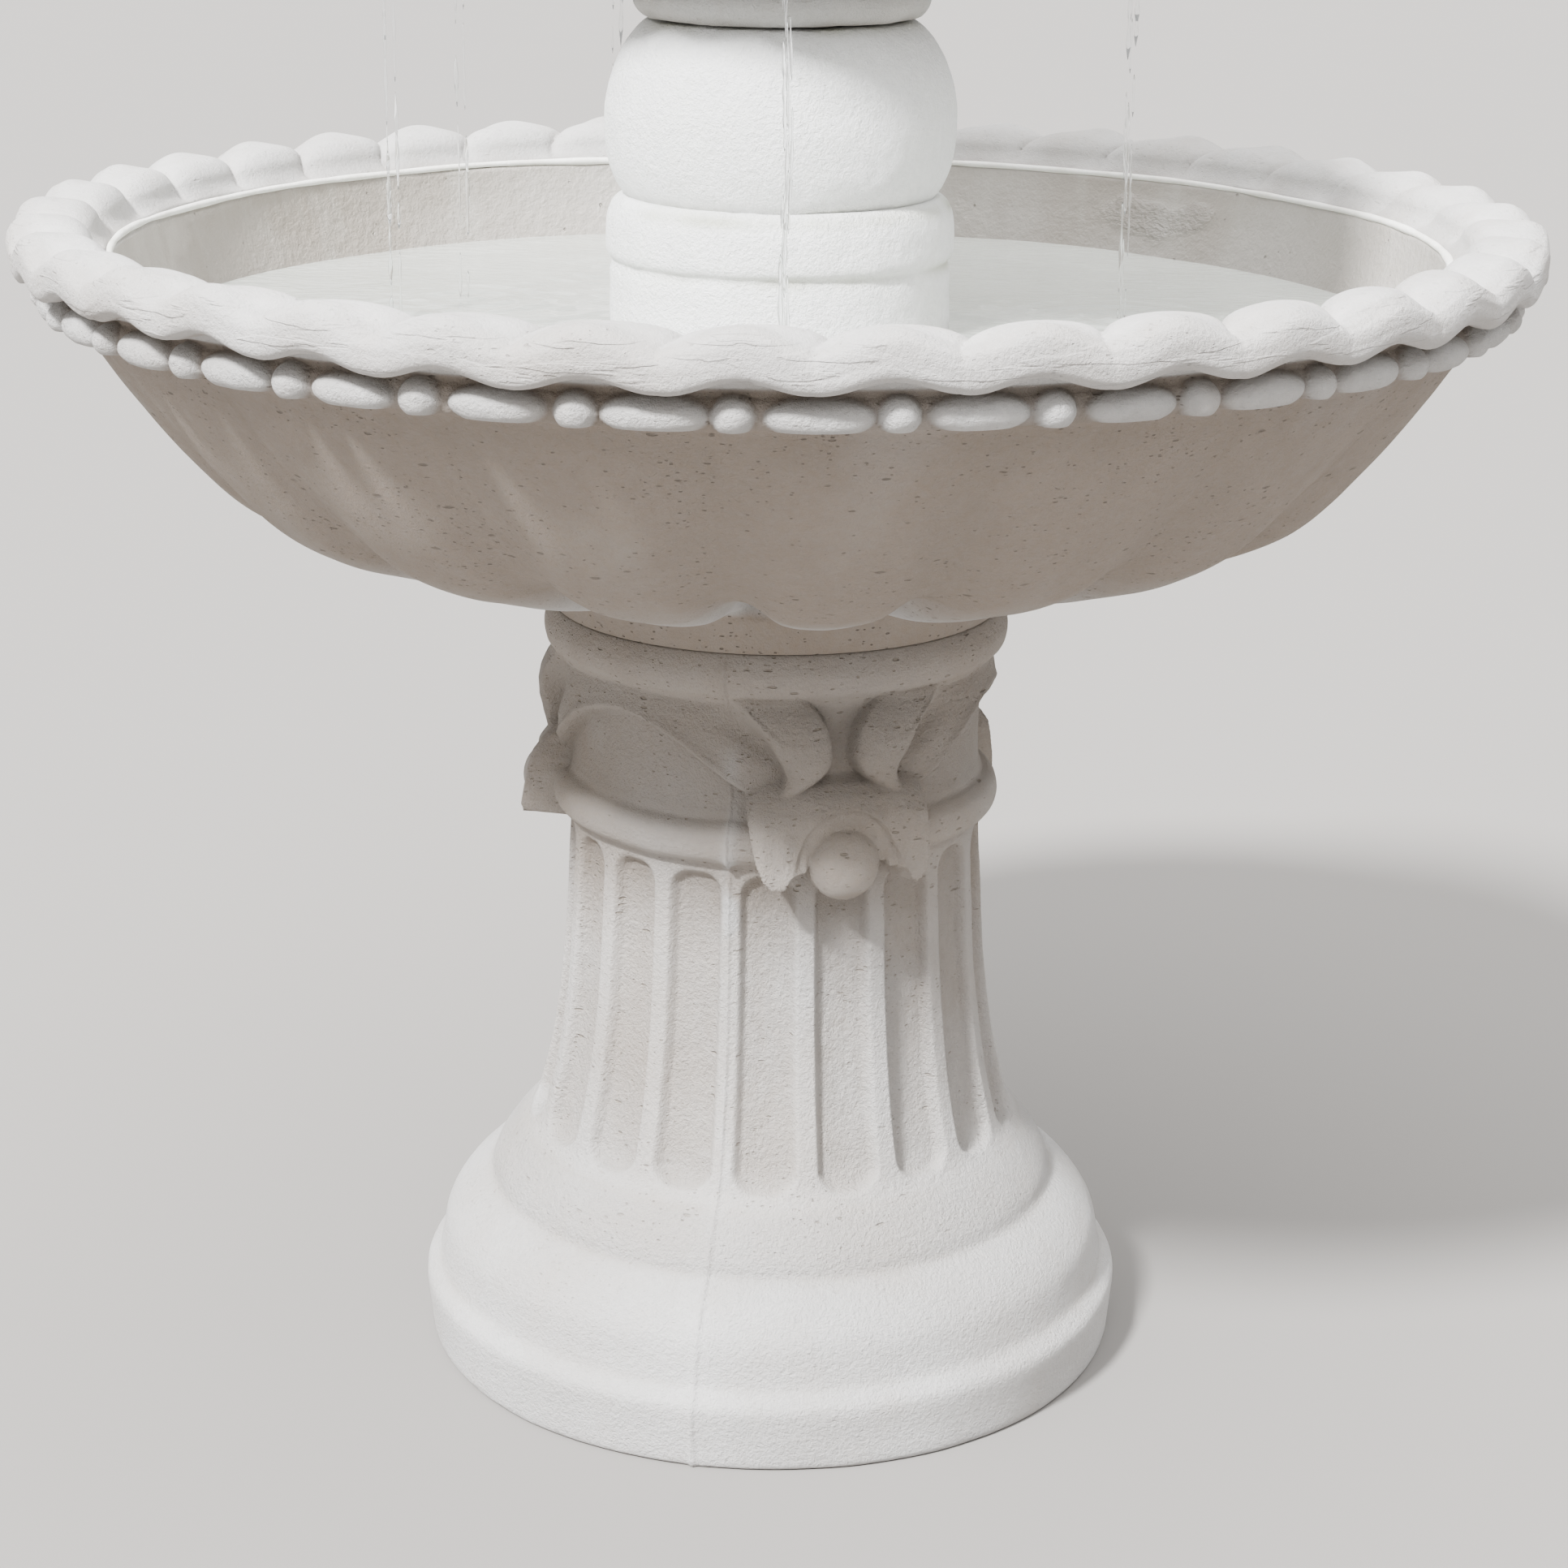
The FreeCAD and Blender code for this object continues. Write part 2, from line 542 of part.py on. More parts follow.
def make_impeller():
    """Bladed wheel on a hub that turns freely on the fixed shaft."""
    wheel = rod_y(IMPELLER_CHAMBER_RADIUS - 3, 2, 4)
    wheel = wheel.fuse(rod_y(4, -5, 4))
    blades = []
    for i in range(IMPELLER_BLADES):
        blade = Part.makeBox(10.5, 7.5, 1.6, V(3.5, -5, PUMP_AXIS_HEIGHT - 0.8))
        blade.rotate(V(0, 0, PUMP_AXIS_HEIGHT), V(0, 1, 0), 360.0 / IMPELLER_BLADES * i)
        blades.append(blade)
    wheel = wheel.fuse(blades + [rod_y(4, 4, 42)])
    return solid_of(wheel.cut(rod_y(SHAFT_RADIUS + 0.06, -10, 60)))


def make_rotor_magnet():
    return solid_of(rod_y(8.6, 12, 42).cut(rod_y(4.05, 10, 50)))


def make_impeller_shaft():
    return solid_of(rod_y(SHAFT_RADIUS, -8.2, 47.5))


def make_shaft_bushings():
    """Rubber cups that hold the shaft at the tunnel's end and in the inlet's hub."""
    rear = rod_y(6, 43, 49.8).cut(rod_y(SHAFT_RADIUS, 42, 47.6))
    front = rod_y(SHAFT_RADIUS + 1.15, -8.5, -5.5).cut(rod_y(SHAFT_RADIUS, -8.3, -5))
    return group_of([rear, front])


def make_intake_foam():
    return solid_of(rod_y(19, -21, -13).cut(rod_y(9, -22, -12)))


def make_intake_cover():
    """Slotted cap over the impeller chamber's inlet, pulled off forwards to clean the foam."""
    shell = rod_y(VOLUTE_RADIUS, -28, -10 - BODY_GAP).cut(rod_y(VOLUTE_RADIUS - 2.5, -25, -9))
    slots = []
    for i in range(INTAKE_SLOTS):
        slot = Part.makeBox(3, 6, 9, V(-1.5, -30, PUMP_AXIS_HEIGHT + 9.5))
        slot.rotate(V(0, 0, PUMP_AXIS_HEIGHT), V(0, 1, 0), 360.0 / INTAKE_SLOTS * (i + 0.5))
        slots.append(slot)
    shell = shell.cut(slots)
    return solid_of(shell.cut(rod_y(2.1, -30, -20)))


def make_flow_dial():
    """Small dial with a finger bar on the cap's front that throttles the inlet."""
    dial = rod_y(8, -31, -28 - BODY_GAP)
    bar = Part.makeBox(3, 4, 14, V(-1.5, -34.5, PUMP_AXIS_HEIGHT - 7))
    dial = dial.fuse([bar, rod_y(2.05, -31, -24)])
    return solid_of(dial.fuse(rod_y(3, -24.7, -23.2)))


def make_suction_cups():
    """Four rubber feet under the pump."""
    cups = []
    for x, y in ((-14, -4), (14, -4), (-18, 50), (18, 50)):
        cone = Part.makeCone(8, 4, 6, V(x, y, FLOOR_HEIGHT), UP)
        cups.append(cone.fuse(cylinder(4, FLOOR_HEIGHT + 5, FLOOR_HEIGHT + 8, x, y)))
    return group_of(cups)


MAKERS = {
    "pedestal": make_pedestal,
    "seat_gasket": make_seat_gasket,
    "lower_bowl": make_lower_bowl,
    "bowl_liner": make_bowl_liner,
    "liner_seal": make_liner_seal,
    "drain_plug": make_drain_plug,
    "cord_grommet": make_cord_grommet,
    "pump_cover": make_pump_cover,
    "post_bulb": make_post_bulb,
    "upper_bowl": make_upper_bowl,
    "hose_grommet": make_hose_grommet,
    "finial": make_finial,
    "spout_nozzle": make_spout_nozzle,
    "pump_motor_housing": make_pump_motor_housing,
    "cord_gland": make_cord_gland,
    "pump_volute": make_pump_volute,
    "volute_o_ring": make_volute_o_ring,
    "outlet_nipple": make_outlet_nipple,
    "riser_hose": make_riser_hose,
    "hose_clamp": make_hose_clamp,
    "impeller": make_impeller,
    "rotor_magnet": make_rotor_magnet,
    "impeller_shaft": make_impeller_shaft,
    "shaft_bushings": make_shaft_bushings,
    "intake_foam": make_intake_foam,
    "intake_cover": make_intake_cover,
    "flow_dial": make_flow_dial,
    "suction_cups": make_suction_cups,
}

os.makedirs("parts", exist_ok=True)
for node, make in MAKERS.items():
    save(node, make())
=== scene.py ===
"""Visual model of a two-tier cast-stone fountain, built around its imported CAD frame.

Castings are turned surfaces on a fine grid of rows (along the half section) and columns (round the
axis), with the carving and the hand-finished roughness as relief along the surface normal. Sections are
in millimetres, meshes in metres, +Z up and the front towards -Y.
"""

import json
import math

import bpy
import numpy as np
from mathutils import Matrix, Vector


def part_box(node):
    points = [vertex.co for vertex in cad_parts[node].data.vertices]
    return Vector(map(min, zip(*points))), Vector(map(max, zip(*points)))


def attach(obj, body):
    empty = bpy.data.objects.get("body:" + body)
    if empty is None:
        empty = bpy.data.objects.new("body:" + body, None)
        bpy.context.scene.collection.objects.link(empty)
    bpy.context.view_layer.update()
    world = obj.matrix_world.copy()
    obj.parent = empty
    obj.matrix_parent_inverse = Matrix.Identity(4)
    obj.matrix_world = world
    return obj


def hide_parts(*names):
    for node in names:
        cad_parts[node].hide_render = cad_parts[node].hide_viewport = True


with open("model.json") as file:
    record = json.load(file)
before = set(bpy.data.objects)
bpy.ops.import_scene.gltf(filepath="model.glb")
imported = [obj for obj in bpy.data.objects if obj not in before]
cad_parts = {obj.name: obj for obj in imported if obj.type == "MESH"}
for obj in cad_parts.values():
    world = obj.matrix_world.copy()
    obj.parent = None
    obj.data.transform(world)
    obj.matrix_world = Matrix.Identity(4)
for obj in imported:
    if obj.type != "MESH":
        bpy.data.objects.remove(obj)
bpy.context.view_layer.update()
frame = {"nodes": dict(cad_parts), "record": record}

MM = 0.001
SEED = 814

# ------------------------------------------------------------------ driving sizes, in millimetres


def node_box(name):
    low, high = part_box(name)
    return [c / MM for c in low], [c / MM for c in high]


BOWL_RADIUS = node_box("lower_bowl")[1][0]
SEAT_HEIGHT = node_box("pedestal")[1][2]
FOOT_BOTTOM = node_box("seat_gasket")[1][2]
COVER_LOW, COVER_HIGH = node_box("pump_cover")
BULB_LOW, BULB_HIGH = node_box("post_bulb")
UPPER_LOW, UPPER_HIGH = node_box("upper_bowl")
FINIAL_LOW, FINIAL_HIGH = node_box("finial")
UPPER_SCALE = UPPER_HIGH[0] / BOWL_RADIUS
COVER_RADIUS = 96.8
WATER_HEIGHT = 623.5
CHANNEL_RADIUS = 52.0
RIM_TOP = 691.5

# Names ending in PHI are angles round the axis, counted from the front towards +X.
PENDANTS = 3
PENDANT_PHI = 17.0
BALL_RADIUS = 20.5
BALL_PLACE = (136.5, 341.0)
FLUTES = 18
FLUTE_PHI = -1.5
FLUTE_LOW, FLUTE_HIGH = 141.5, 330.0
FLUTE_HALF_WIDTH, FLUTE_HALF_ANGLE, FLUTE_CORNER = 16.6, 7.8, 13.0
GADROONS = 18
GADROON_PHI = -4.5
RIM_LOBES = 38
RIM_PHI = -2.9
RIM_WAVE = 3.6
BEADS = 34
BEAD_PHI = -2.8
BEAD_SEAT_RADIUS, BEAD_MIDDLE_RADIUS, BEAD_HEIGHT = 406.0, 414.0, 651.8
MOULD_SEAM_PHI = -12.0
CREASE_HEIGHTS = (102.5, 134.4, 49, 360, 435.5)
CORD_GROOVE_HALF_WIDTH, CORD_GROOVE_TOP = 13, 19
SPLASH_PHI = 139.5
SPLASH_HEIGHT = 646.0

# ------------------------------------------------------------------ numeric helpers


def smoothstep(x, low, high):
    t = np.clip((x - low) / (high - low), 0.0, 1.0)
    return t * t * (3.0 - 2.0 * t)


def wrapped(angle, pitch):
    """Signed distance of an angle from the nearest multiple of pitch."""
    return (angle + pitch / 2.0) % pitch - pitch / 2.0


def round_the_axis(columns):
    """Angle of each grid column in degrees, as one row, from -180 to 180."""
    return wrapped(np.arange(columns) / columns * 360.0, 360.0)[None, :]


def spline_weights(places, count, periodic):
    """Matrix that turns count lattice values into a smooth curve read at the given places."""
    whole = np.floor(places).astype(int)
    t = places - whole
    weights = [(1 - t) ** 3, 3 * t**3 - 6 * t**2 + 4, -3 * t**3 + 3 * t**2 + 3 * t + 1, t**3]
    matrix = np.zeros((len(places), count))
    rows = np.arange(len(places))
    for k, w in enumerate(weights):
        column = (whole + k) % count if periodic else np.clip(whole + k, 0, count - 1)
        np.add.at(matrix, (rows, column), w / 6.0)
    return matrix


class Relief:
    """Seeded smooth noise on a grid that closes on itself round the axis."""

    def __init__(self, seed, along, columns, girth):
        self.rng = np.random.default_rng(SEED + seed)
        self.along = along
        self.columns = columns
        self.girth = girth

    def layer(self, cell_along, cell_round):
        up = self.along / cell_along
        up = up - up.min()
        up_count = int(math.ceil(up.max())) + 4
        round_count = max(4, int(round(self.girth / cell_round)))
        around = np.arange(self.columns) / self.columns * round_count
        lattice = self.rng.standard_normal((up_count, round_count))
        return spline_weights(up, up_count, False) @ lattice @ spline_weights(around, round_count, True).T

    def noise(self, cell, octaves=3, stretch=1.0):
        total = 0.0
        for k in range(octaves):
            size = cell / 2.0**k
            total = total + self.layer(size, size * stretch) / 2.0**k
        return total


def rounded_run(points, step):
    """Points at even steps along a smooth curve through the given points (a straight line through two)."""
    points = np.asarray(points, float)
    if len(points) == 2:
        count = max(2, int(np.hypot(*(points[1] - points[0])) / step))
        return points[0] + (points[1] - points[0]) * np.linspace(0, 1, count + 1)[:, None]
    padded = np.vstack([2 * points[0] - points[1], points, 2 * points[-1] - points[-2]])
    fine = []
    for i in range(len(points) - 1):
        p0, p1, p2, p3 = padded[i : i + 4]
        t = np.linspace(0, 1, 60, endpoint=False)[:, None]
        fine.append(0.5 * (2 * p1 + (p2 - p0) * t + (2 * p0 - 5 * p1 + 4 * p2 - p3) * t**2
                           + (3 * p1 - p0 - 3 * p2 + p3) * t**3))
    fine = np.vstack(fine + [points[-1:]])
    length = np.concatenate([[0], np.cumsum(np.hypot(*np.diff(fine, axis=0).T))])
    count = max(2, int(length[-1] / step))
    even = np.linspace(0, length[-1], count + 1)
    return np.stack([np.interp(even, length, fine[:, 0]), np.interp(even, length, fine[:, 1])], axis=1)


def half_section(runs):
    """Joins runs of (step, points) into one section with corners between the runs."""
    parts = [rounded_run(points, step) for step, points in runs]
    section = np.vstack([parts[0]] + [part[1:] for part in parts[1:]])
    return section


def eased(section, passes):
    """Softens a closed section's corners, as handling and casting do."""
    for _ in range(passes):
        section = (np.roll(section, 1, 0) + 2 * section + np.roll(section, -1, 0)) / 4.0
    return section


def section_normals(section):
    """Outward directions along a closed section."""
    tangent = np.roll(section, -1, 0) - np.roll(section, 1, 0)
    tangent /= np.maximum(np.hypot(tangent[:, 0], tangent[:, 1]), 1e-9)[:, None]
    return np.stack([tangent[:, 1], -tangent[:, 0]], axis=1)


def section_lengths(section):
    return np.concatenate([[0], np.cumsum(np.hypot(*np.diff(section, axis=0).T))])


# ------------------------------------------------------------------ mesh helpers


def grid_mesh(name, radius, height, closed_rows, values=None):
    """Mesh from radius and height grids in millimetres, with the values as point attributes."""
    rows, columns = radius.shape
    phi = np.arange(columns) / columns * 2 * math.pi
    points = np.stack([radius * np.sin(phi), -radius * np.cos(phi), height], axis=-1).reshape(-1, 3) * MM
    index = np.arange(rows * columns).reshape(rows, columns)
    here = index if closed_rows else index[:-1]
    above = np.roll(index, -1, 0) if closed_rows else index[1:]
    quads = np.stack([here, np.roll(here, -1, 1), np.roll(above, -1, 1), above], axis=-1).reshape(-1, 4)
    mesh = bpy.data.meshes.new(name)
    mesh.from_pydata(points.tolist(), [], quads.tolist())
    for key, grid in (values or {}).items():
        flat = np.broadcast_to(grid, (rows, columns)).ravel()
        layer = mesh.attributes.new(key, "FLOAT", "POINT")
        layer.data.foreach_set("value", flat.astype(np.float32))
    return finished_object(name, mesh)


def finished_object(name, mesh):
    mesh.validate()
    mesh.polygons.foreach_set("use_smooth", np.ones(len(mesh.polygons), bool))
    mesh.update()
    piece = bpy.data.objects.new(name, mesh)
    bpy.context.scene.collection.objects.link(piece)
    return piece


def place(piece, body, slot, material, *nodes):
    piece.data.materials.append(material)
    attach(piece, body)
    if nodes:
        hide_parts(*nodes)
    return piece


# ------------------------------------------------------------------ materials


class Shader:
    """Short hand for building a Principled material from nodes."""

    def __init__(self, name, **sockets):
        self.material = bpy.data.materials.new(name)
        self.material.use_nodes = True
        self.tree = self.material.node_tree
        self.main = self.tree.nodes["Principled BSDF"]
        for socket, value in sockets.items():
            self.main.inputs[socket.replace("_", " ")].default_value = value

    def node(self, kind, inputs=None, **settings):
        made = self.tree.nodes.new("ShaderNode" + kind)
        for key, value in settings.items():
            setattr(made, key, value)
        for key, value in (inputs or {}).items():
            self.feed(made, key, value)
        return made

    def feed(self, made, key, value):
        socket = made.inputs[key]
        if isinstance(value, bpy.types.NodeSocket):
            self.tree.links.new(value, socket)
        else:
            socket.default_value = value

    def place(self, stretch=(1, 1, 1)):
        where = self.node("TexCoord").outputs["Object"]
        return self.node("Mapping", {"Vector": where, "Scale": stretch}).outputs["Vector"]

    def noise(self, scale, detail=4.0, rough=0.55, stretch=(1, 1, 1)):
        return self.node("TexNoise", {"Vector": self.place(stretch), "Scale": scale, "Detail": detail,
                                      "Roughness": rough}).outputs["Fac"]

    def ranged(self, value, low, high, to_low=0.0, to_high=1.0):
        return self.node("MapRange", {"Value": value, "From Min": low, "From Max": high, "To Min": to_low,
                                      "To Max": to_high}).outputs["Result"]

    def maths(self, operation, a, b=0.0):
        return self.node("Math", {0: a, 1: b}, operation=operation).outputs[0]

    def mixed(self, factor, a, b):
        mix = self.node("Mix", data_type="RGBA")
        self.feed(mix, 0, factor)
        for key, value in ((6, a), (7, b)):
            self.feed(mix, key, value if isinstance(value, bpy.types.NodeSocket) else (*value, 1.0))
        return mix.outputs[2]

    def spots(self, cell, reach, share, flat=1.0):
        """Ragged specks of many sizes in drifts, 1 inside a speck; flat squashes them in height."""
        warp = self.node("TexNoise", {"Vector": self.place(), "Scale": 0.7 / cell, "Detail": 3.0})
        bending = (cell * 0.9,) * 3
        bend = self.node("VectorMath", {0: warp.outputs["Color"], 1: bending, 2: self.place((1, 1, flat))},
                         operation="MULTIPLY_ADD").outputs["Vector"]
        cells = self.node("TexVoronoi", {"Vector": bend, "Scale": 1.0 / cell, "Randomness": 1.0})
        chance = self.node("SeparateColor", {"Color": cells.outputs["Color"]})
        size = self.ranged(chance.outputs[1], 0.0, 1.0, 0.35, 1.0)
        near = self.ranged(self.maths("DIVIDE", cells.outputs["Distance"], size), reach, reach * 0.55)
        drifts = self.ranged(self.noise(13.0, 3.0), 0.38, 0.66, share * 0.15, share * 2.0)
        return self.maths("MULTIPLY", near, self.maths("LESS_THAN", chance.outputs[0], drifts))

    def attribute(self, name):
        return self.node("Attribute", attribute_name=name).outputs["Fac"]

    def bump(self, height, depth, strength=1.0, under=None):
        inputs = {"Height": height, "Distance": depth, "Strength": strength}
        if under is not None:
            inputs["Normal"] = under
        return self.node("Bump", inputs).outputs["Normal"]

    def set(self, socket, value):
        self.feed(self.main, socket, value)


def stone_material(name, tone, shade_and_stain_tone, dirt_and_shade, stain_share=0.5, wet=0.0, pore_share=0.16, grain=1.0):
    """Cast stone: sandy grain, open pores, soft stains, dirt and painted shade in the creases, and a tan
    painted shade where the stone lies in shade.
    """
    s = Shader(name)
    clouds = s.ranged(s.noise(9.0, 5.0), 0.36, 0.68)
    patches = s.ranged(s.noise(24.0, 4.0, 0.6, (1, 1, 0.6)), 0.48, 0.74)
    drift = s.maths("MULTIPLY", s.maths("SUBTRACT", clouds, 0.5), stain_share)
    # Painted shade: the mesh attribute read here turns the stone a tan shade colour where it lies in shade,
    # and the noise adds real stains.
    shade_and_stain = s.maths("ADD", s.attribute("shade_and_stain"), drift)
    colour = s.mixed(s.ranged(shade_and_stain, 0.0, 1.0), tone, shade_and_stain_tone)
    # Painted light: values below zero lighten the stone, painting bounce light on the bowls' lower lobes;
    # the noise gives a few random lighter patches as well.
    colour = s.mixed(s.ranged(shade_and_stain, 0.0, -0.6, 0.0, 0.8), colour, (0.72, 0.71, 0.70))
    colour = s.mixed(s.maths("MULTIPLY", patches, stain_share * 0.8), colour, tuple(c * 1.25 for c in shade_and_stain_tone))
    mottle = s.ranged(s.noise(230.0, 4.0, 0.65), 0.35, 0.7, 0.0, 0.22)
    colour = s.mixed(mottle, colour, tuple(c * 0.62 for c in tone))
    wide_pits = s.spots(0.014, 0.24, pore_share, 3.4)
    small_pits = s.spots(0.0042, 0.3, pore_share * 1.1, 2.2)
    pits = s.maths("MAXIMUM", wide_pits, small_pits)
    open_pits = s.maths("MULTIPLY", pits, s.ranged(shade_and_stain, 0.1, 0.55, 0.12, 0.75))
    # Pores, splits and creases take the dark colour that stands for dirt and painted shade; pores open more
    # where the stone is painted as shaded.
    colour = s.mixed(open_pits, colour, dirt_and_shade)
    trowelled = s.attribute("trowelled")
    sweep = s.noise(13.0, 3.0, 0.5, (1, 1, 9.0))
    split = s.ranged(s.maths("ABSOLUTE", s.maths("SUBTRACT", sweep, 0.5)), 0.006, 0.0)
    split = s.maths("MULTIPLY", split, trowelled)
    split = s.maths("MULTIPLY", split, s.ranged(s.noise(7.0, 2.0), 0.6, 0.68))
    colour = s.mixed(s.maths("MULTIPLY", split, 0.3), colour, dirt_and_shade)
    # Painted shade with dirt in the creases, gaps and grooves marked on the mesh.
    colour = s.mixed(s.maths("MULTIPLY", s.attribute("dirt_and_shade"), 0.8), colour, dirt_and_shade)
    s.set("Base Color", colour)
    s.set("Roughness", s.ranged(s.noise(60.0, 3.0), 0.3, 0.7, 0.72 - wet * 0.45, 0.92 - wet * 0.3))
    rough = s.ranged(s.attribute("rough"), 0.0, 1.0, 0.35, 1.35)
    sand = s.maths("MULTIPLY", s.noise(520.0, 3.0, 0.7), 0.55)
    lumps = s.maths("MULTIPLY", s.noise(360.0, 4.0, 0.75), 1.7)
    height = s.maths("MULTIPLY", s.maths("ADD", sand, lumps), rough)
    height = s.maths("SUBTRACT", height, s.maths("MULTIPLY", open_pits, 1.6))
    layers = s.maths("SUBTRACT", s.ranged(sweep, 0.485, 0.515), split)
    height = s.maths("ADD", height, s.maths("MULTIPLY", layers, s.maths("MULTIPLY", trowelled, 0.4)))
    s.set("Normal", s.bump(height, 0.0015 * grain))
    return s.material


def wet_stone_material():
    """Basin liner: grey-beige, faint run marks down the wall, wet and rippled where water splashes on it."""
    s = Shader("wet_stone", Coat_Weight=0.55, Coat_Roughness=0.12, Specular_IOR_Level=0.55)
    clouds = s.ranged(s.noise(7.0, 5.0), 0.35, 0.7)
    colour = s.mixed(clouds, (0.42, 0.395, 0.365), (0.31, 0.275, 0.235))
    runs = s.ranged(s.noise(26.0, 4.0, 0.6, (1, 1, 0.16)), 0.52, 0.75)
    colour = s.mixed(s.maths("MULTIPLY", runs, 0.45), colour, (0.50, 0.49, 0.455))
    pores = s.spots(0.007, 0.2, 0.14)
    colour = s.mixed(s.maths("MULTIPLY", pores, 0.5), colour, (0.19, 0.165, 0.135))
    s.set("Base Color", colour)
    splash = s.attribute("splash")
    dull = s.ranged(s.noise(40.0, 3.0), 0.3, 0.7, 0.28, 0.5)
    s.set("Roughness", s.maths("MULTIPLY", dull, s.ranged(splash, 0.0, 1.0, 1.0, 0.3)))
    height = s.maths("ADD", s.noise(180.0, 4.0, 0.6), s.maths("MULTIPLY", s.noise(500.0, 2.0), 0.35))
    ripples = s.noise(240.0, 3.0, 0.6, (1, 1, 1.8))
    height = s.maths("ADD", height, s.maths("MULTIPLY", s.maths("MULTIPLY", ripples, splash), 3.5))
    s.set("Normal", s.bump(s.maths("SUBTRACT", height, pores), 0.0013))
    return s.material


def water_material():
    """Pale green, slightly milky water, stirred full of small bubbles."""
    # The emission is painted light: a faint glow of the water's own that lifts it where it lies in shade.
    s = Shader("water", Transmission_Weight=0.3, IOR=1.33, Coat_Weight=0.5, Coat_Roughness=0.03,
               Emission_Color=(0.85, 0.9, 0.84, 1.0), Emission_Strength=0.5)
    drift = s.ranged(s.noise(14.0, 4.0, 0.6, (1, 2.4, 1)), 0.35, 0.7)
    colour = s.mixed(drift, (0.46, 0.48, 0.44), (0.55, 0.57, 0.53))
    s.set("Base Color", s.mixed(s.spots(0.012, 0.16, 0.12), colour, (0.95, 0.96, 0.95)))
    s.set("Roughness", s.ranged(s.noise(30.0, 2.0), 0.3, 0.7, 0.05, 0.14))
    s.set("Normal", s.bump(s.noise(80.0, 3.0, 0.5, (1, 1.8, 1)), 0.0016))
    return s.material


def falling_water_material():
    s = Shader("falling_water", Transmission_Weight=0.95, IOR=1.33, Roughness=0.04)
    s.set("Base Color", s.mixed(s.noise(120.0), (0.95, 0.97, 0.97), (1.0, 1.0, 1.0)))
    return s.material


def sealant_material():
    s = Shader("sealant", Specular_IOR_Level=0.5)
    s.set("Base Color", s.mixed(s.ranged(s.noise(45.0), 0.4, 0.7), (0.86, 0.85, 0.81), (0.74, 0.72, 0.66)))
    s.set("Roughness", s.ranged(s.noise(80.0), 0.3, 0.7, 0.35, 0.6))
    s.set("Normal", s.bump(s.noise(300.0), 0.0006))
    return s.material


def plain_material(name, dark, light, rough, metal=0.0, scale=220.0, depth=0.0003, **sockets):
    """Moulded, machined or rubber parts: a little colour drift, fine surface grain and handling marks."""
    s = Shader(name, Metallic=metal, **sockets)
    s.set("Base Color", s.mixed(s.ranged(s.noise(scale * 0.3, 3.0), 0.35, 0.7), dark, light))
    s.set("Roughness", s.ranged(s.noise(scale * 0.5, 3.0), 0.3, 0.7, rough - 0.08, rough + 0.1))
    s.set("Normal", s.bump(s.noise(scale * 4.0, 3.0), depth))
    return s.material


def foam_material():
    s = Shader("filter_foam")
    holes = s.spots(0.0022, 0.4, 0.9)
    s.set("Base Color", s.mixed(holes, (0.07, 0.07, 0.075), (0.015, 0.015, 0.018)))
    s.set("Roughness", s.ranged(s.noise(300.0), 0.3, 0.7, 0.85, 1.0))
    s.set("Normal", s.bump(s.maths("MULTIPLY", holes, -1.0), 0.002))
    return s.material


# The first three colours are dark dirt and painted shade for creases, pits and grooves; each stone's second
# colour is its tan painted shade tone.
SHADOW_SOIL = (0.25, 0.212, 0.17)
BOWL_DIRT_AND_SHADE = (0.15, 0.125, 0.10)
POST_DIRT_AND_SHADE = (0.50, 0.51, 0.40)
PEDESTAL_STONE = stone_material("pedestal_stone", (0.468, 0.458, 0.45), (0.295, 0.25, 0.208), SHADOW_SOIL,
                                0.3, pore_share=0.3)
BOWL_STONE = stone_material("bowl_stone", (0.46, 0.45, 0.44), (0.265, 0.217, 0.175), BOWL_DIRT_AND_SHADE, 0.34,
                            pore_share=0.3)
POST_STONE = stone_material("post_stone", (0.95, 0.955, 0.95), (0.80, 0.81, 0.76), POST_DIRT_AND_SHADE, 0.3,
                            wet=0.55, pore_share=0.1, grain=1.35)
WET_STONE = wet_stone_material()
WATER = water_material()
FALLING_WATER = falling_water_material()
SEALANT = sealant_material()
NODE_FINISHES = {
    "foam_rubber": plain_material("foam_rubber", (0.05, 0.05, 0.05), (0.09, 0.09, 0.09), 0.85, depth=0.0008),
    "black_rubber": plain_material("black_rubber", (0.02, 0.02, 0.02), (0.045, 0.045, 0.045), 0.6),
    "pump_plastic": plain_material("pump_plastic", (0.022, 0.023, 0.025), (0.04, 0.041, 0.044), 0.45),
    "impeller_plastic": plain_material("impeller_plastic", (0.72, 0.73, 0.70), (0.82, 0.82, 0.80), 0.3),
    "magnet_ferrite": plain_material("magnet_ferrite", (0.05, 0.05, 0.055), (0.09, 0.09, 0.095), 0.5),
    "ceramic_shaft": plain_material("ceramic_shaft", (0.82, 0.81, 0.77), (0.9, 0.89, 0.86), 0.18),
    "clear_vinyl": plain_material("clear_vinyl", (0.70, 0.76, 0.73), (0.80, 0.84, 0.82), 0.2,
                                  Transmission_Weight=0.6, IOR=1.45),
    "spring_steel": plain_material("spring_steel", (0.50, 0.50, 0.51), (0.66, 0.66, 0.67), 0.28, metal=1.0),
    "nozzle_brass": plain_material("nozzle_brass", (0.45, 0.31, 0.13), (0.62, 0.47, 0.22), 0.38, metal=1.0),
    "filter_foam": foam_material(),
}

# ------------------------------------------------------------------ pedestal

PEDESTAL_COLUMNS = 1080


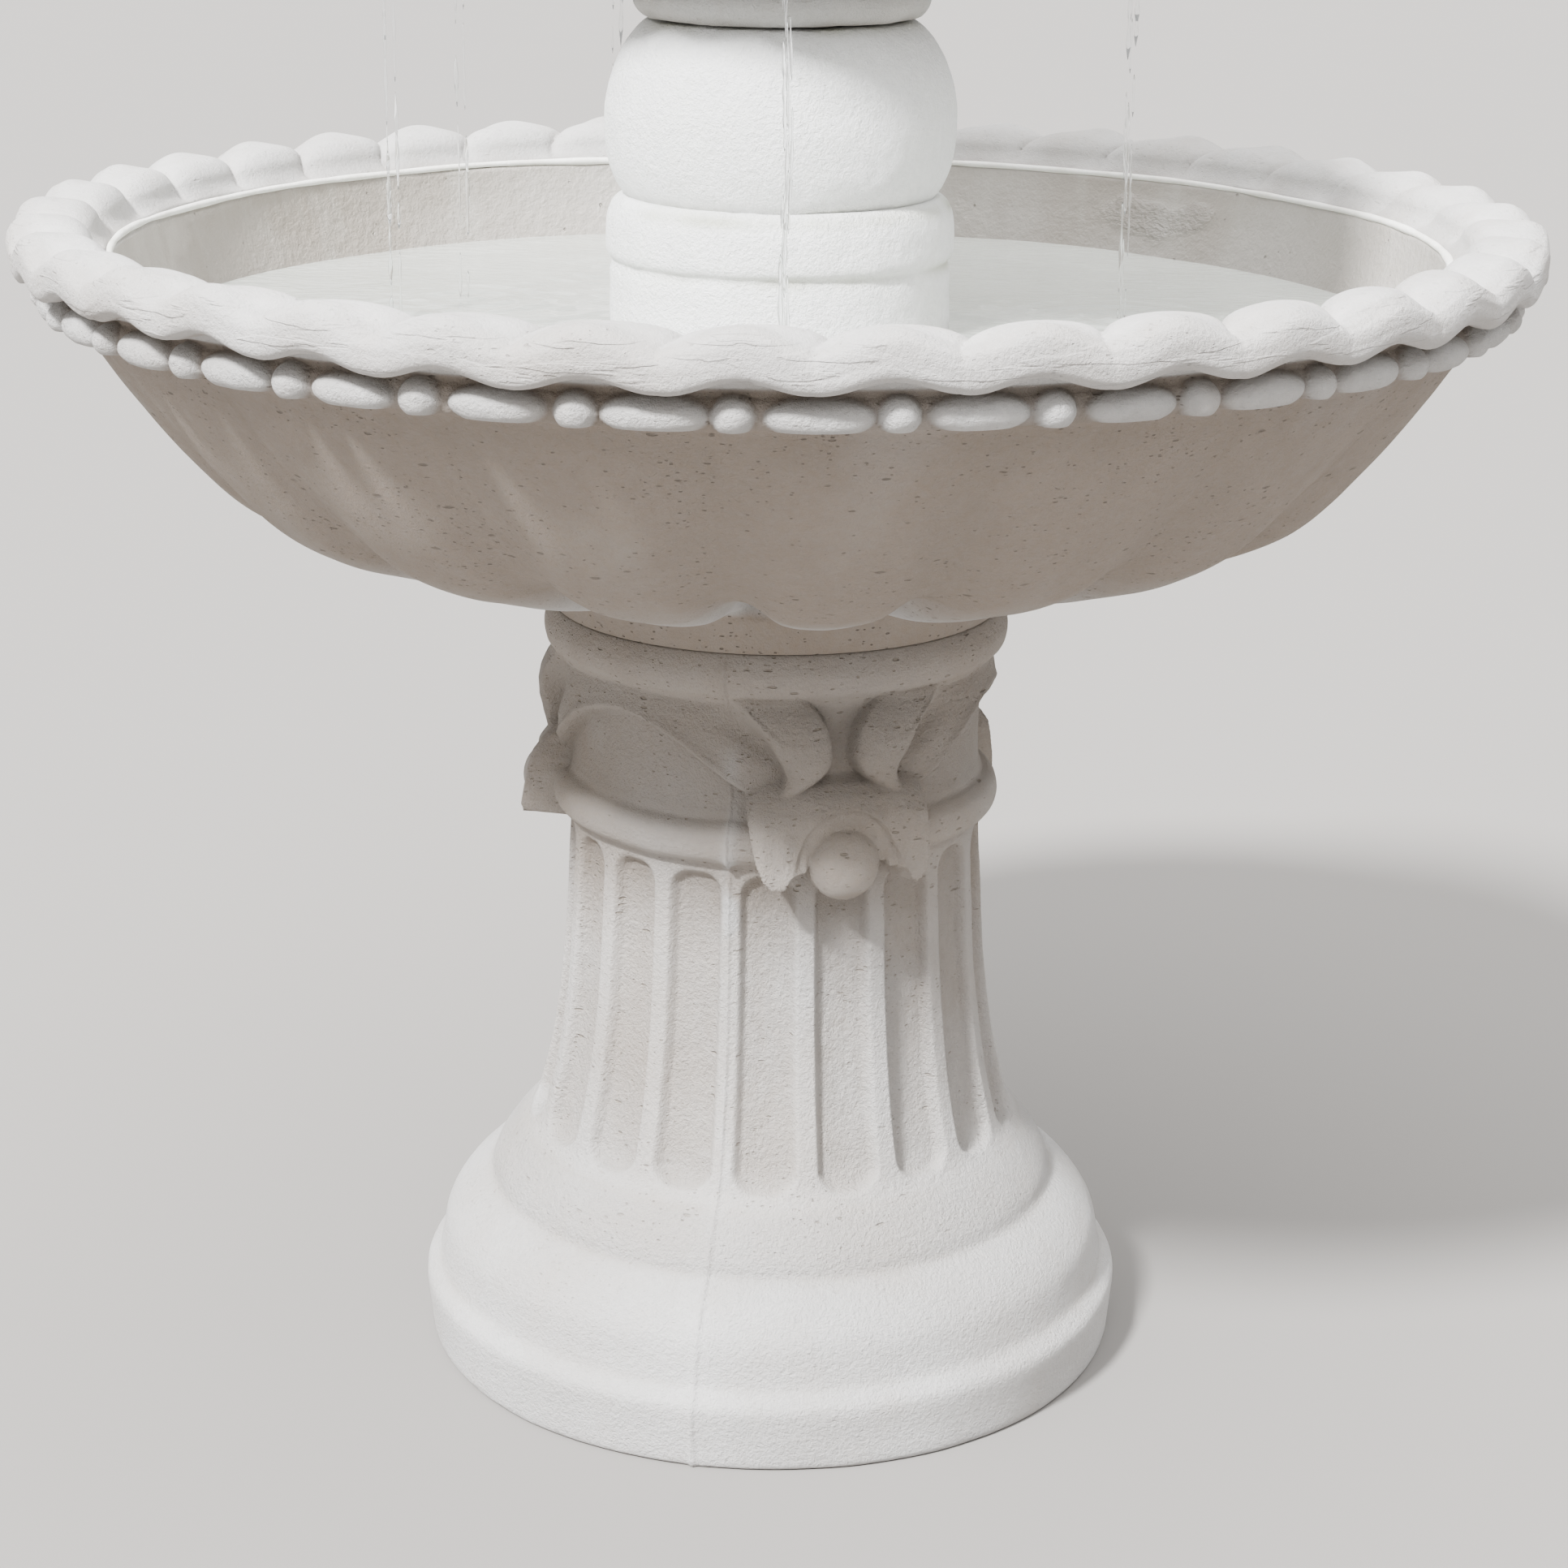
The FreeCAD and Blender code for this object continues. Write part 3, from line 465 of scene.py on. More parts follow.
def pedestal_section():
    """Outside from the ground to the seat, then down the channel through the middle; closed."""
    top = FOOT_BOTTOM + 0.3
    return half_section([
        (4.0, [(199, 0), (208, 0)]),
        (2.0, [(208, 0), (210.5, 2.0), (212.5, 20), (214, 37), (212.5, 41.5)]),
        (1.5, [(212.5, 41.5), (205, 49)]),
        (2.2, [(205, 49), (203.6, 58), (200.5, 74), (192, 87), (181, 97), (172, 102.5)]),
        (2.2, [(172, 102.5), (171, 109), (166.5, 117.5), (160, 126), (152.5, 134.4)]),
        (1.8, [(152.5, 134.4), (144.8, 146), (136.5, 178), (130.8, 212), (126.6, 250), (123.8, 298),
               (122, 336)]),
        (1.0, [(122, 336), (127.4, 338)]),
        (1.0, [(127.4, 338), (131.2, 341.5), (133, 348), (131.5, 355.5), (127, 360)]),
        (1.0, [(127, 360), (122.4, 363.5), (120.8, 380), (121.2, 402), (124, 424), (129.6, 435.5)]),
        (1.0, [(129.6, 435.5), (134.6, 440), (136.6, 448), (135.8, 454), (133.6, 459), (132.2, top - 0.8)]),
        (0.4, [(132.2, top - 0.8), (131.4, top)]),
        (0.5, [(131.4, top), (127, top)]),
        (1.5, [(127, top), (124, top)]),
        (1.5, [(124, top), (123.5, SEAT_HEIGHT)]),
        (6.0, [(123.5, SEAT_HEIGHT), (72, SEAT_HEIGHT)]),
        (5.0, [(72, SEAT_HEIGHT), (72, SEAT_HEIGHT - 13)]),
        (6.0, [(72, SEAT_HEIGHT - 13), (CHANNEL_RADIUS, SEAT_HEIGHT - 13)]),
        (12.0, [(CHANNEL_RADIUS, SEAT_HEIGHT - 13), (CHANNEL_RADIUS, 0)]),
        (8.0, [(CHANNEL_RADIUS, 0), (199, 0)]),
    ])[:-1]


# The capital's carving. A hem is its height against the degrees from a pendant's middle. The edges of a lobe
# are degrees, its stand is millimetres out from the column's face, and the bell's face is a radius, all
# three against height.
SWAG_HEM = ((0, 372), (14, 374), (19, 374), (22, 376), (26, 381.5), (31, 388.5), (36.5, 397), (42, 405),
            (48, 411.5), (54, 415.5), (60, 417))
LOBE_INNER = ((372, 14.5), (379, 11.6), (384, 8.6), (388, 6.2), (394, 3.6), (402, 2.4), (411, 2.8),
              (420, 3.8), (428, 6), (434, 8.6), (440, 11))
LOBE_OUTER = ((372, 19.5), (379, 17.6), (386, 15.4), (391, 14.8), (397, 15.6), (402, 17.4), (409, 20.4),
              (418, 25), (427, 29.6), (436, 34))
LOBE_STAND = ((372, 5), (376, 11), (382, 15.5), (390, 18.5), (400, 20.5), (410, 20.5), (418, 18.5),
              (426, 15), (432, 12), (438, 9))
BELL_HEM = ((0, 373), (3.5, 372), (6.5, 367.5), (9.4, 360), (11.3, 349), (12.7, 338), (14.0, 330.5),
            (15.6, 328), (17.6, 329), (19.6, 334.5), (21.2, 344), (22.2, 355), (23.2, 367), (24, 377),
            (24.6, 390), (26, 450))
BELL_FACE = ((326, 150.5), (336, 150.5), (348, 148.5), (360, 146), (370, 143), (378, 137), (384, 130),
             (390, 124))
DEGREE_LENGTH = 2.4  # millimetres in a degree at the capital's face


def along_curve(curve, x):
    xs, ys = np.array(curve, float).T
    return np.interp(x, xs, ys)


def above_curve(curve, a, z):
    """Distance above an outline, measured square to it."""
    slope = (along_curve(curve, a + 0.3) - along_curve(curve, a - 0.3)) / (0.6 * DEGREE_LENGTH)
    return (z - along_curve(curve, a)) / np.hypot(1.0, slope)


def swag_layer(a, z, face):
    """Thick draped cloth between the pendants, with a rolled hem and a hollowed toe beside each lobe."""
    above = above_curve(SWAG_HEM, a, z)
    roll = np.sqrt(1 - (1 - np.clip(above / 5.0, 0, 1)) ** 2)
    from_lobe = a - along_curve(LOBE_OUTER, z)
    toe = smoothstep(z, 374, 384) * (1 - smoothstep(z, 410, 432))
    scoop = 7.0 * np.exp(-((from_lobe / 6.0) ** 2)) * toe
    lip = 1.2 * np.exp(-(((above - 4.0) / 3.0) ** 2))
    folds = 0.9 * np.cos((a - 60) / 60 * 7.0) * smoothstep(above, 0, 12)
    stand = 11.0 - 5.5 * smoothstep(z, 408, 437) - scoop + folds + lip
    return face + stand * roll


def lobe_layer(a, z, face):
    """Two full round folds above each bell, running up under the torus."""
    inner, outer = along_curve(LOBE_INNER, z), along_curve(LOBE_OUTER, z)
    across = np.clip((a - inner) / np.maximum(outer - inner, 0.5), 0, 1)
    dome = np.sqrt(np.clip(1 - (2 * across - 1.0) ** 2, 0, 1))
    merge = 16.0 * smoothstep(z, 396, 424)
    inside = smoothstep((a - inner) * DEGREE_LENGTH, -0.4, 1.6)
    inside = inside * smoothstep((outer - a) * DEGREE_LENGTH, -0.4, 1.6 + merge)
    height = along_curve(LOBE_STAND, z) * (0.4 + 0.6 * dome)
    return face + height * inside * smoothstep(z, 371, 377)


def bell_layer(signed, z):
    """Flared cloth that spreads over each ball, with a thick hem and a drawn-out corner at either side.

    Returns its radius, and how much of it there is at each point. A thinner sheet goes on below the arch
    of the hem.
    """
    a = np.abs(signed)
    a = np.where((signed > 0) & (a > 16), 16 + 1.7 * (a - 16), a)
    above = above_curve(BELL_HEM, a, z)
    trough = 4.0 * np.exp(-(((a - 11.0) / 3.0) ** 2)) * (1 - smoothstep(z, 360, 384))
    trough = trough * smoothstep(z, 334, 350)
    radius = along_curve(BELL_FACE, z) - trough + 1.5 * np.exp(-(((a - 19.5) / 1.8) ** 2))
    arch = 1 - smoothstep(a, 11.0, 13.5)
    width = 17.0 - 10.0 * smoothstep(a, 8.0, 12.5)
    radius = radius - 3.0 * arch * (1 - smoothstep(above, -0.7, 0.9))
    radius = radius - 3.5 * arch * (1 - smoothstep(above, -14.0, -1.0))
    sheet = width * arch * smoothstep(z, 332, 344)
    inside = smoothstep(above + sheet, -0.7, 0.9) * (1 - smoothstep(z, 384, 390))
    return radius, inside


def ball_layer(signed, z):
    """Ball under the bell: radius at which a ray from the axis leaves the sphere, 0 where it misses."""
    centre, height = BALL_PLACE
    off = np.radians(signed)
    reach = BALL_RADIUS**2 - (centre * np.sin(off)) ** 2 - (z - height) ** 2
    hit = centre * np.cos(off) + np.sqrt(np.maximum(reach, 0))
    return np.where((reach > 0) & (np.abs(signed) < 30), hit, 0)


def capital_radius(phi, z, radius):
    """Adds the carved ornament of the capital to the column's plain radius."""
    signed = wrapped(phi - PENDANT_PHI, 360.0 / PENDANTS)
    a = np.abs(signed)
    zone = smoothstep(z, 312, 318) * (1 - smoothstep(z, 435, 438.5))
    face = np.minimum(radius, 121 + 3 * smoothstep(z, 400, 430))
    outer = along_curve(LOBE_OUTER, z)
    swag = np.where(a > outer - 0.5 - 7.0 * smoothstep(z, 398, 414), swag_layer(a, z, face), 0)
    carved = np.maximum(radius, swag)
    valley = face + 4.5 * smoothstep(a, 17.0, 12.0)
    between = (a < along_curve(LOBE_INNER, z) + 1.5) & (z > 368)
    carved = np.where(between, np.maximum(np.minimum(carved, valley), radius), carved)
    lobes = lobe_layer(a, z, face)
    soft = 0.6 + 7.0 * smoothstep(z, 396, 420) * smoothstep(a, 9, 15)
    carved = (carved + lobes + np.sqrt((carved - lobes) ** 2 + soft**2) - soft) / 2
    carved = np.maximum(carved, radius)
    bell, inside = bell_layer(signed, z)
    carved = carved + np.maximum(bell - carved, 0) * inside
    carved = np.maximum(carved, ball_layer(signed + 0.6, z))
    return radius + (carved - radius) * zone


def flute_depth(phi, z):
    """Round-ended channels: 1 on a channel's floor and 0 outside it, and the distance in from its edge."""
    u = np.abs(wrapped(phi - FLUTE_PHI, 360.0 / FLUTES)) / FLUTE_HALF_ANGLE * FLUTE_HALF_WIDTH
    v = np.abs(z - (FLUTE_LOW + FLUTE_HIGH) / 2)
    over_u = np.maximum(u - (FLUTE_HALF_WIDTH - FLUTE_CORNER), 0)
    over_v = np.maximum(v - ((FLUTE_HIGH - FLUTE_LOW) / 2 - FLUTE_CORNER), 0)
    inward = FLUTE_CORNER - np.hypot(over_u, over_v)
    return smoothstep(inward, -0.6, 4.2), inward


def mould_seam(phi, noise):
    """Raised line of filler where the halves of the mould met, and the smear beside it."""
    wander = MOULD_SEAM_PHI + 0.25 * noise.layer(60, 2000)
    line = np.exp(-((wrapped(phi - wander, 360) / 0.42) ** 2))
    smear = np.exp(-((wrapped(phi - wander - 0.6, 360) / 2.1) ** 2))
    return line, smear


def make_pedestal():
    section = eased(pedestal_section(), 2)
    phi = round_the_axis(PEDESTAL_COLUMNS)
    radius = np.repeat(section[:, :1], PEDESTAL_COLUMNS, 1)
    height = np.repeat(section[:, 1:], PEDESTAL_COLUMNS, 1)
    normal = section_normals(section)
    seat_row = np.argmax(section[:, 1] > SEAT_HEIGHT - 0.3) + 4
    outside = (np.arange(len(section)) < seat_row)[:, None]
    relief = Relief(1, section_lengths(section), PEDESTAL_COLUMNS, 2 * math.pi * 150)

    depth, inward = flute_depth(phi, height)
    depth = depth * outside
    hollow = np.sqrt(np.clip(inward / FLUTE_CORNER, 0, 1))
    channel = 4.6 * depth + 3.2 * hollow * depth
    crust = np.maximum(relief.noise(5.5, 2), -0.6)
    joint = 1 - smoothstep(section[:, 1:], FOOT_BOTTOM - 7.0, FOOT_BOTTOM - 1.5)
    rough = crust * 0.24 * depth + (relief.noise(60.0, 3) * 0.4 + relief.noise(11.0, 3) * 0.13) * joint
    line, smear = mould_seam(phi, relief)
    lumps = np.clip(1.4 * relief.layer(14.0, 10.0), 0, 1.6)
    seam = outside * (1.5 * line + smear * (0.3 + 1.1 * lumps)) * joint
    filler = smoothstep(relief.noise(20.0, 2, 1.6), 0.75, 1.25) * np.exp(-(((height - 134.0) / 24.0) ** 2))
    seam = seam + 0.7 * filler * outside
    push = -channel + rough * outside + seam
    radius = radius + push * normal[:, :1]
    height = height + push * normal[:, 1:] * outside

    carved = capital_radius(phi + 0.25 * relief.layer(30, 30), height + 0.5 * relief.layer(25, 25), radius)
    radius = np.where(outside, carved, radius)
    height = cut_cord_groove(section, phi, radius, height)

    # Painted shade with dirt: darker in the creases between the mouldings, along the flutes' edges and in
    # the hollows of their floors, lighter on the seam's smear.
    dirt_and_shade = 0.3 * crease_dirt_and_shade(section) + 0.1 * np.exp(-(((inward - 1.0) / 1.6) ** 2)) * depth
    dirt_and_shade = np.clip(dirt_and_shade + 0.35 * np.clip(-crust, 0, 1) * depth - 0.3 * smear, 0, 1) * outside
    dirt_and_shade = dirt_and_shade * (0.6 + 0.4 * relief.noise(30.0, 2))
    # Painted shade: tan towards the top of the column and over the capital, where the bowl shades it, and on
    # the flutes' floors; also darker round the waist, with random stains, and whiter on the seam's smear and
    # the filler.
    shade_and_stain = 0.33 * smoothstep(height, 120, 170) + 0.46 * smoothstep(height, 250, 345)
    shade_and_stain = shade_and_stain + 0.1 * relief.layer(50, 50)
    waist_band = np.exp(-(((height - 122.0) / 22.0) ** 2))
    shade_and_stain = shade_and_stain + 0.2 * depth + 0.26 * waist_band + 0.14 * np.maximum(relief.noise(70.0, 3), 0)
    shade_and_stain = shade_and_stain - smear * lumps * (0.8 - 0.5 * smoothstep(height, 330, 350)) - 0.5 * filler
    frieze = smoothstep(height, 362, 368) * (1 - smoothstep(height, 425, 435))
    waist = smoothstep(height, 100, 108) * (1 - smoothstep(height, 130, 136))
    coarse = np.maximum(np.maximum(depth, frieze), 0.7 * waist)
    coarse = 0.5 + 0.5 * coarse + 0.2 * relief.layer(60, 60)
    values = {"dirt_and_shade": np.clip(dirt_and_shade, 0, 1), "shade_and_stain": np.clip(shade_and_stain, 0, 1.2), "rough": np.clip(coarse, 0, 1)}
    piece = grid_mesh("pedestal_casting", radius, height, True, values)
    return place(piece, "pedestal", "cast_stone", PEDESTAL_STONE, "pedestal")


def cut_cord_groove(section, phi, radius, height):
    """Keeps the underside flat on the ground and opens the groove for the pump's cord at the back."""
    lowest = np.repeat(section[:, 1:] < 0.5, PEDESTAL_COLUMNS, 1)
    height = np.where(lowest, 0.0, np.maximum(height, 0.0))
    sideways = np.abs(radius * np.sin(np.radians(phi)))
    groove = (sideways < CORD_GROOVE_HALF_WIDTH) & (np.abs(phi) > 90) & (height < CORD_GROOVE_TOP)
    return np.where(groove & (section[:, :1] > CHANNEL_RADIUS + 1), CORD_GROOVE_TOP, height)


# Painted shade with dirt in the creases between the pedestal's mouldings.
def crease_dirt_and_shade(section):
    return sum(np.exp(-(((section[:, 1:] - h) / 2.2) ** 2)) for h in CREASE_HEIGHTS)


# ------------------------------------------------------------------ bowls

UNDERSIDE = [(132, 486.5), (150, 488), (195, 494.5), (225, 501.5), (255, 510.5), (285, 520.5), (315, 538),
             (345, 569.5), (370, 602), (387, 627), (396, 643)]
RIM_LIP = (413, 665.6)
INNER_LIP = (376.5, 671)
WALL = [(374.8, 669), (373, 660), (367, 640), (353, 608), (332, 580), (305, 556), (275, 542), (240, 532),
        (200, 525), (150, 522)]


def bowl_section(k, step):
    """Closed section of a bowl casting, in the large bowl's millimetres; k only coarsens the steps."""
    s = step / k
    foot = FOOT_BOTTOM + 0.4
    return half_section([
        (s * 3, [(60, foot), (129.4, foot)]),
        (0.5, [(129.4, foot), (131.3, foot + 0.1)]),
        (0.5, [(131.3, foot + 0.1), (131.3, foot + 2.5)]),
        (s * 1.5, [(131.3, foot + 2.5), (131.4, 470), (131.6, 480), (132, 486.5)]),
        (s * 1.6, UNDERSIDE),
        (s * 0.7, [(396, 643), (400.5, 644)]),
        (s * 0.5, [(400.5, 644), (401.5, 652), (405, 660), (411, 665), (419, 666.6)]),
        (s * 0.5, [(419, 666.6), (425.5, 666.4)]),
        (s * 0.5, [(425.5, 666.4), (429.0, 670), (429.8, 676), (429.2, 682), (426.8, 686.5)]),
        (s * 0.7, [(426.8, 686.5), (418, RIM_TOP - 1.2), (405, RIM_TOP), (394, RIM_TOP - 1.5), (387, 684.5),
                   (384.8, 679), (382, 675), INNER_LIP]),
        (s * 3, [INNER_LIP, (381, 660), (374, 640), (360, 608), (339, 582), (306, 562)]),
        (s * 6, [(306, 562), (240, 538), (60, 528), (60, foot)]),
    ])[:-1]


def gadroon_push(phi, along):
    """Inward push of the valleys between a bowl's lobes; along runs 0..1 from the foot to the beads."""
    away = wrapped(phi - GADROON_PHI, 360.0 / GADROONS)
    notch = np.exp(-(np.abs(away / 3.5) ** 2.6))
    swell = 0.5 - 0.5 * np.cos(np.radians(away * GADROONS))
    places = [0.0, 0.08, 0.25, 0.5, 0.7, 0.86, 0.97, 1.0]
    deep = np.interp(along, places, [8.0, 13.5, 15.5, 12.5, 7.5, 3.4, 1.4, 0.0])
    crease = np.exp(-((away / 0.35) ** 2)) * np.interp(along, [0.3, 0.6, 0.95, 1.0], [0.0, 0.7, 0.6, 0.0])
    return -(deep * (0.7 * notch + 0.3 * (1 - swell)) + crease)


def bead_radius(phi, z, rng):
    """Radius of the string of balls and long beads at each grid point, with the ridge that carries it."""
    pitch = 360.0 / BEADS
    ball, long_bead = (0.0, 10.8, 9.8, 13.0), (0.5, 26.0, 9.2, 12.0)
    found = BEAD_SEAT_RADIUS + 3.0 * np.sqrt(np.clip(1 - ((z - 652.5) / 7.0) ** 2, 0, 1))
    for i in range(BEADS):
        for offset, half_long, half_high, stand in (ball, long_bead):
            shift, grow, rise = rng.uniform(-1, 1, 3)
            centre = BEAD_PHI + pitch * (i + offset) + shift * 0.22
            u = np.radians(wrapped(phi - centre, 360.0)) * BEAD_MIDDLE_RADIUS
            u = u / (half_long * (1 + 0.07 * grow))
            v = (z - BEAD_HEIGHT - 0.5 * rise) / (half_high * (1 + 0.05 * grow))
            power = 2.6 if offset else 2.0
            shell = 1 - np.abs(u) ** power - v**2
            bulge = BEAD_SEAT_RADIUS + stand * np.sqrt(np.maximum(shell, 0))
            found = np.maximum(found, np.where(shell > 0, bulge, 0))
    return found


def rope_push(phi, turn, noise):
    """Lobes of the rope rim; turn runs 0..1 from its lower outer lip over the top to the inner lip."""
    pitch = 360.0 / RIM_LOBES
    twist = 2.6 * smoothstep(turn, 0.35, 1.0)
    away = wrapped(phi - RIM_PHI - twist + 0.35 * noise, pitch) / (pitch / 2)
    dome = np.sqrt(np.clip(1 - np.abs(away) ** 2.1, 0, 1))
    places = [0, 0.12, 0.3, 0.42, 0.55, 0.7, 0.85, 0.95, 1]
    depth = np.interp(turn, places, [0, 0.8, 1.4, 4.6, 8.6, 10.2, 8.8, 3.6, 0])
    return depth * (dome - 0.85), away


def nearest_row(section, point):
    return np.argmin(np.hypot(section[:, 0] - point[0], section[:, 1] - point[1]))


def make_bowl(name, k, lift, columns, step, body, slot, node):
    """A bowl casting: the large one at k = 1, or the same shape k times as big and lifted."""
    section = eased(bowl_section(k, step), 1)
    lengths = section_lengths(section)
    phi = round_the_axis(columns)
    radius = np.repeat(section[:, :1], columns, 1)
    height = np.repeat(section[:, 1:], columns, 1)
    normal = section_normals(section)
    relief = Relief(20 + int(k * 10), lengths, columns, 2 * math.pi * 400)

    start, ledge = nearest_row(section, UNDERSIDE[0]), nearest_row(section, UNDERSIDE[-1])
    lip, inner = nearest_row(section, RIM_LIP), nearest_row(section, INNER_LIP)
    index = np.arange(len(section))[:, None]
    under = (index >= start) & (index <= ledge)
    band = (index > ledge) & (index <= lip + 3)
    rim = (index >= lip) & (index <= inner)
    along = np.clip((lengths - lengths[start]) / (lengths[ledge] - lengths[start]), 0, 1)[:, None]
    turn = np.clip((lengths - lengths[lip]) / (lengths[inner] - lengths[lip]), 0, 1)[:, None]

    push = np.where(under, gadroon_push(phi, along), 0)
    push = push + np.where(under, relief.noise(80.0, 3) * 0.5 + relief.noise(12.0, 2) * 0.12, 0)
    lobes, away = rope_push(phi, turn, relief.layer(60, 60))
    outer_face = smoothstep(turn, 0.02, 0.1) * (1 - smoothstep(turn, 0.4, 0.52))
    trowel = np.tanh(4.0 * relief.noise(10.0, 3, 9.0)) * 0.34 + relief.noise(5.0, 3, 6.0) * 0.2
    cracks = -1.8 * np.exp(-((relief.noise(10.0, 2, 14.0) / 0.1) ** 2))
    cracks = cracks * smoothstep(relief.layer(40, 90), 0.5, 1.0)
    hand = relief.noise(28.0, 3) * 0.45
    push = push + np.where(rim, lobes + hand + (trowel + cracks) * outer_face, 0)
    radius = radius + push * normal[:, :1]
    height = height + push * normal[:, 1:]

    wave = np.cos(np.radians((phi - RIM_PHI - 0.4) * RIM_LOBES)) + 0.35 * relief.layer(200, 90)
    lower = smoothstep(turn, 0.0, 0.06) * (1 - smoothstep(turn, 0.42, 0.62))
    height = height + np.where(rim, RIM_WAVE * wave * lower, 0)
    bead = bead_radius(phi, height, np.random.default_rng(SEED + 5)) + 0.55 * relief.noise(8.0, 3)
    radius = np.where(band & (height > 645.0) & (bead > radius), bead, radius)
    radius = np.minimum(radius, BOWL_RADIUS + 1.5)

    # Painted shade with dirt: dark between the beads under the rim, in the rope's creases, under the inner
    # lip and along the gadroon valleys; real run marks and dark cracks.
    gap = np.where(band, smoothstep(413.0 - radius, 0, 7.0), 0)
    crease = np.exp(-(((1 - np.abs(away)) / 0.09) ** 2)) * smoothstep(turn, 0.45, 0.6) * rim
    tuck = np.exp(-(((turn - 1.0) / 0.07) ** 2)) * ((index > lip) & (index <= inner))
    valley = np.exp(-((wrapped(phi - GADROON_PHI, 360.0 / GADROONS) / 3.6) ** 2)) * under
    runs = relief.layer(220, 26) * under
    dirt_and_shade = 0.5 * gap + 0.22 * crease + 0.5 * tuck + 0.16 * valley + 0.07 * runs - 0.4 * cracks * outer_face
    dirt_and_shade = dirt_and_shade * (0.7 + 0.3 * relief.noise(25.0, 2))
    # Painted shade: the underside, the bead band and the rim's outer face are tan as they lie in shade,
    # darker in the valleys; near the foot the value drops below zero, painting bounce light on the lower
    # lobes. The rim's top stays white.
    drift = 0.22 * relief.noise(120.0, 3, 0.45) + 0.25 * valley - 1.25 * (1 - smoothstep(along, 0.08, 0.62))
    shade_and_stain = 1.0 - smoothstep(turn, 0.0, 0.1) + (index > inner) + drift * under
    shade_and_stain = shade_and_stain + 0.16 * outer_face * rim * (1 + 0.5 * relief.noise(40.0, 2, 2.0))
    shade_and_stain = np.where(band, 0.9 * smoothstep(413.0 - radius, 0, 6.0), shade_and_stain)
    rough = 0.75 * under + 0.7 * band + 0.25 * outer_face
    values = {"dirt_and_shade": np.clip(dirt_and_shade, 0, 1), "shade_and_stain": np.clip(shade_and_stain, -0.5, 1.3), "rough": np.clip(rough, 0, 1),
              "trowelled": outer_face * rim}
    piece = grid_mesh(name, radius * k, height * k + lift, True, values)
    return place(piece, body, slot, BOWL_STONE, node)


def make_liner():
    """Basin wall and floor: the seen face, turned over its top edge and closed behind."""
    face = rounded_run(WALL, 3.0)
    floor = rounded_run([(150, 522), (2, 522)], 6.0)
    behind = rounded_run([(2, 517), (150, 517), (200, 519.5), (240, 526.5), (276, 536), (309, 550),
                          (337, 575), (358.5, 604), (373, 637), (379.5, 667)], 8.0)
    section = np.vstack([face, floor[1:], behind, [[378, 669.5]]])
    columns = 720
    phi = round_the_axis(columns)
    normal = section_normals(section)
    relief = Relief(3, section_lengths(section), columns, 2 * math.pi * 350)
    seen = (np.arange(len(section)) < len(face))[:, None]
    runs = relief.layer(90, 12) * 0.18
    push = np.where(seen, relief.noise(70.0, 3) * 0.35 + relief.noise(10.0, 2) * 0.1 + runs, 0)
    radius = section[:, :1] + push * normal[:, :1]
    height = section[:, 1:] + push * normal[:, 1:]
    from_splash = np.hypot(wrapped(phi - SPLASH_PHI, 360.0) / 8.0, (section[:, 1:] - SPLASH_HEIGHT) / 13.0)
    splash = (1 - smoothstep(from_splash + 0.35 * relief.noise(14.0, 2), 0.55, 1.1)) * seen
    piece = grid_mesh("basin_liner", radius, height, True, {"splash": splash})
    return place(piece, "lower_bowl", "wet_stone", WET_STONE, "bowl_liner")


def ring_bead(name, centre_radius, centre_height, thickness, columns, seed, squash):
    """Hand-laid bead of sealant: a ring whose width and height wander."""
    turn = np.linspace(0, 2 * math.pi, 14, endpoint=False)[::-1]
    relief = Relief(seed, turn * 10, columns, 2 * math.pi * centre_radius)
    width = thickness * (1 + 0.18 * relief.layer(1000, 14)[:1])
    wander = 0.9 * relief.layer(1000, 70)[:1]
    radius = centre_radius + width * np.cos(turn)[:, None] + 0.4 * wander
    height = centre_height + width * np.sin(turn)[:, None] * squash + wander
    return grid_mesh(name, radius, height, True)


# ------------------------------------------------------------------ post


def make_turned(name, section, columns, relief_seed, body, slot, material, node, lumps=0.5, dirt_and_shade_heights=()):
    """A plain turned casting with hand-finished unevenness."""
    section = eased(section, 2)
    normal = section_normals(section)
    girth = 2 * math.pi * section[:, 0].max()
    relief = Relief(relief_seed, section_lengths(section), columns, girth)
    push = relief.noise(45.0, 3) * lumps + relief.noise(9.0, 3) * 0.28
    radius = section[:, :1] + push * normal[:, :1]
    height = section[:, 1:] + push * normal[:, 1:]
    height = np.clip(height, section[:, 1].min(), section[:, 1].max())
    # Painted shade with dirt in the grooves at the given heights, in the material's dark colour.
    dirt_and_shade = np.zeros((len(section), 1))
    for h in dirt_and_shade_heights:
        dirt_and_shade = dirt_and_shade + np.exp(-(((section[:, 1:] - h) / 4.0) ** 2))
    dirt_and_shade = np.clip(dirt_and_shade * (0.45 + 0.4 * relief.noise(18.0, 2)), 0, 1)
    piece = grid_mesh(name, np.maximum(radius, 0.5), height, True, {"dirt_and_shade": dirt_and_shade, "rough": 0.4})
    return place(piece, body, slot, material, node)


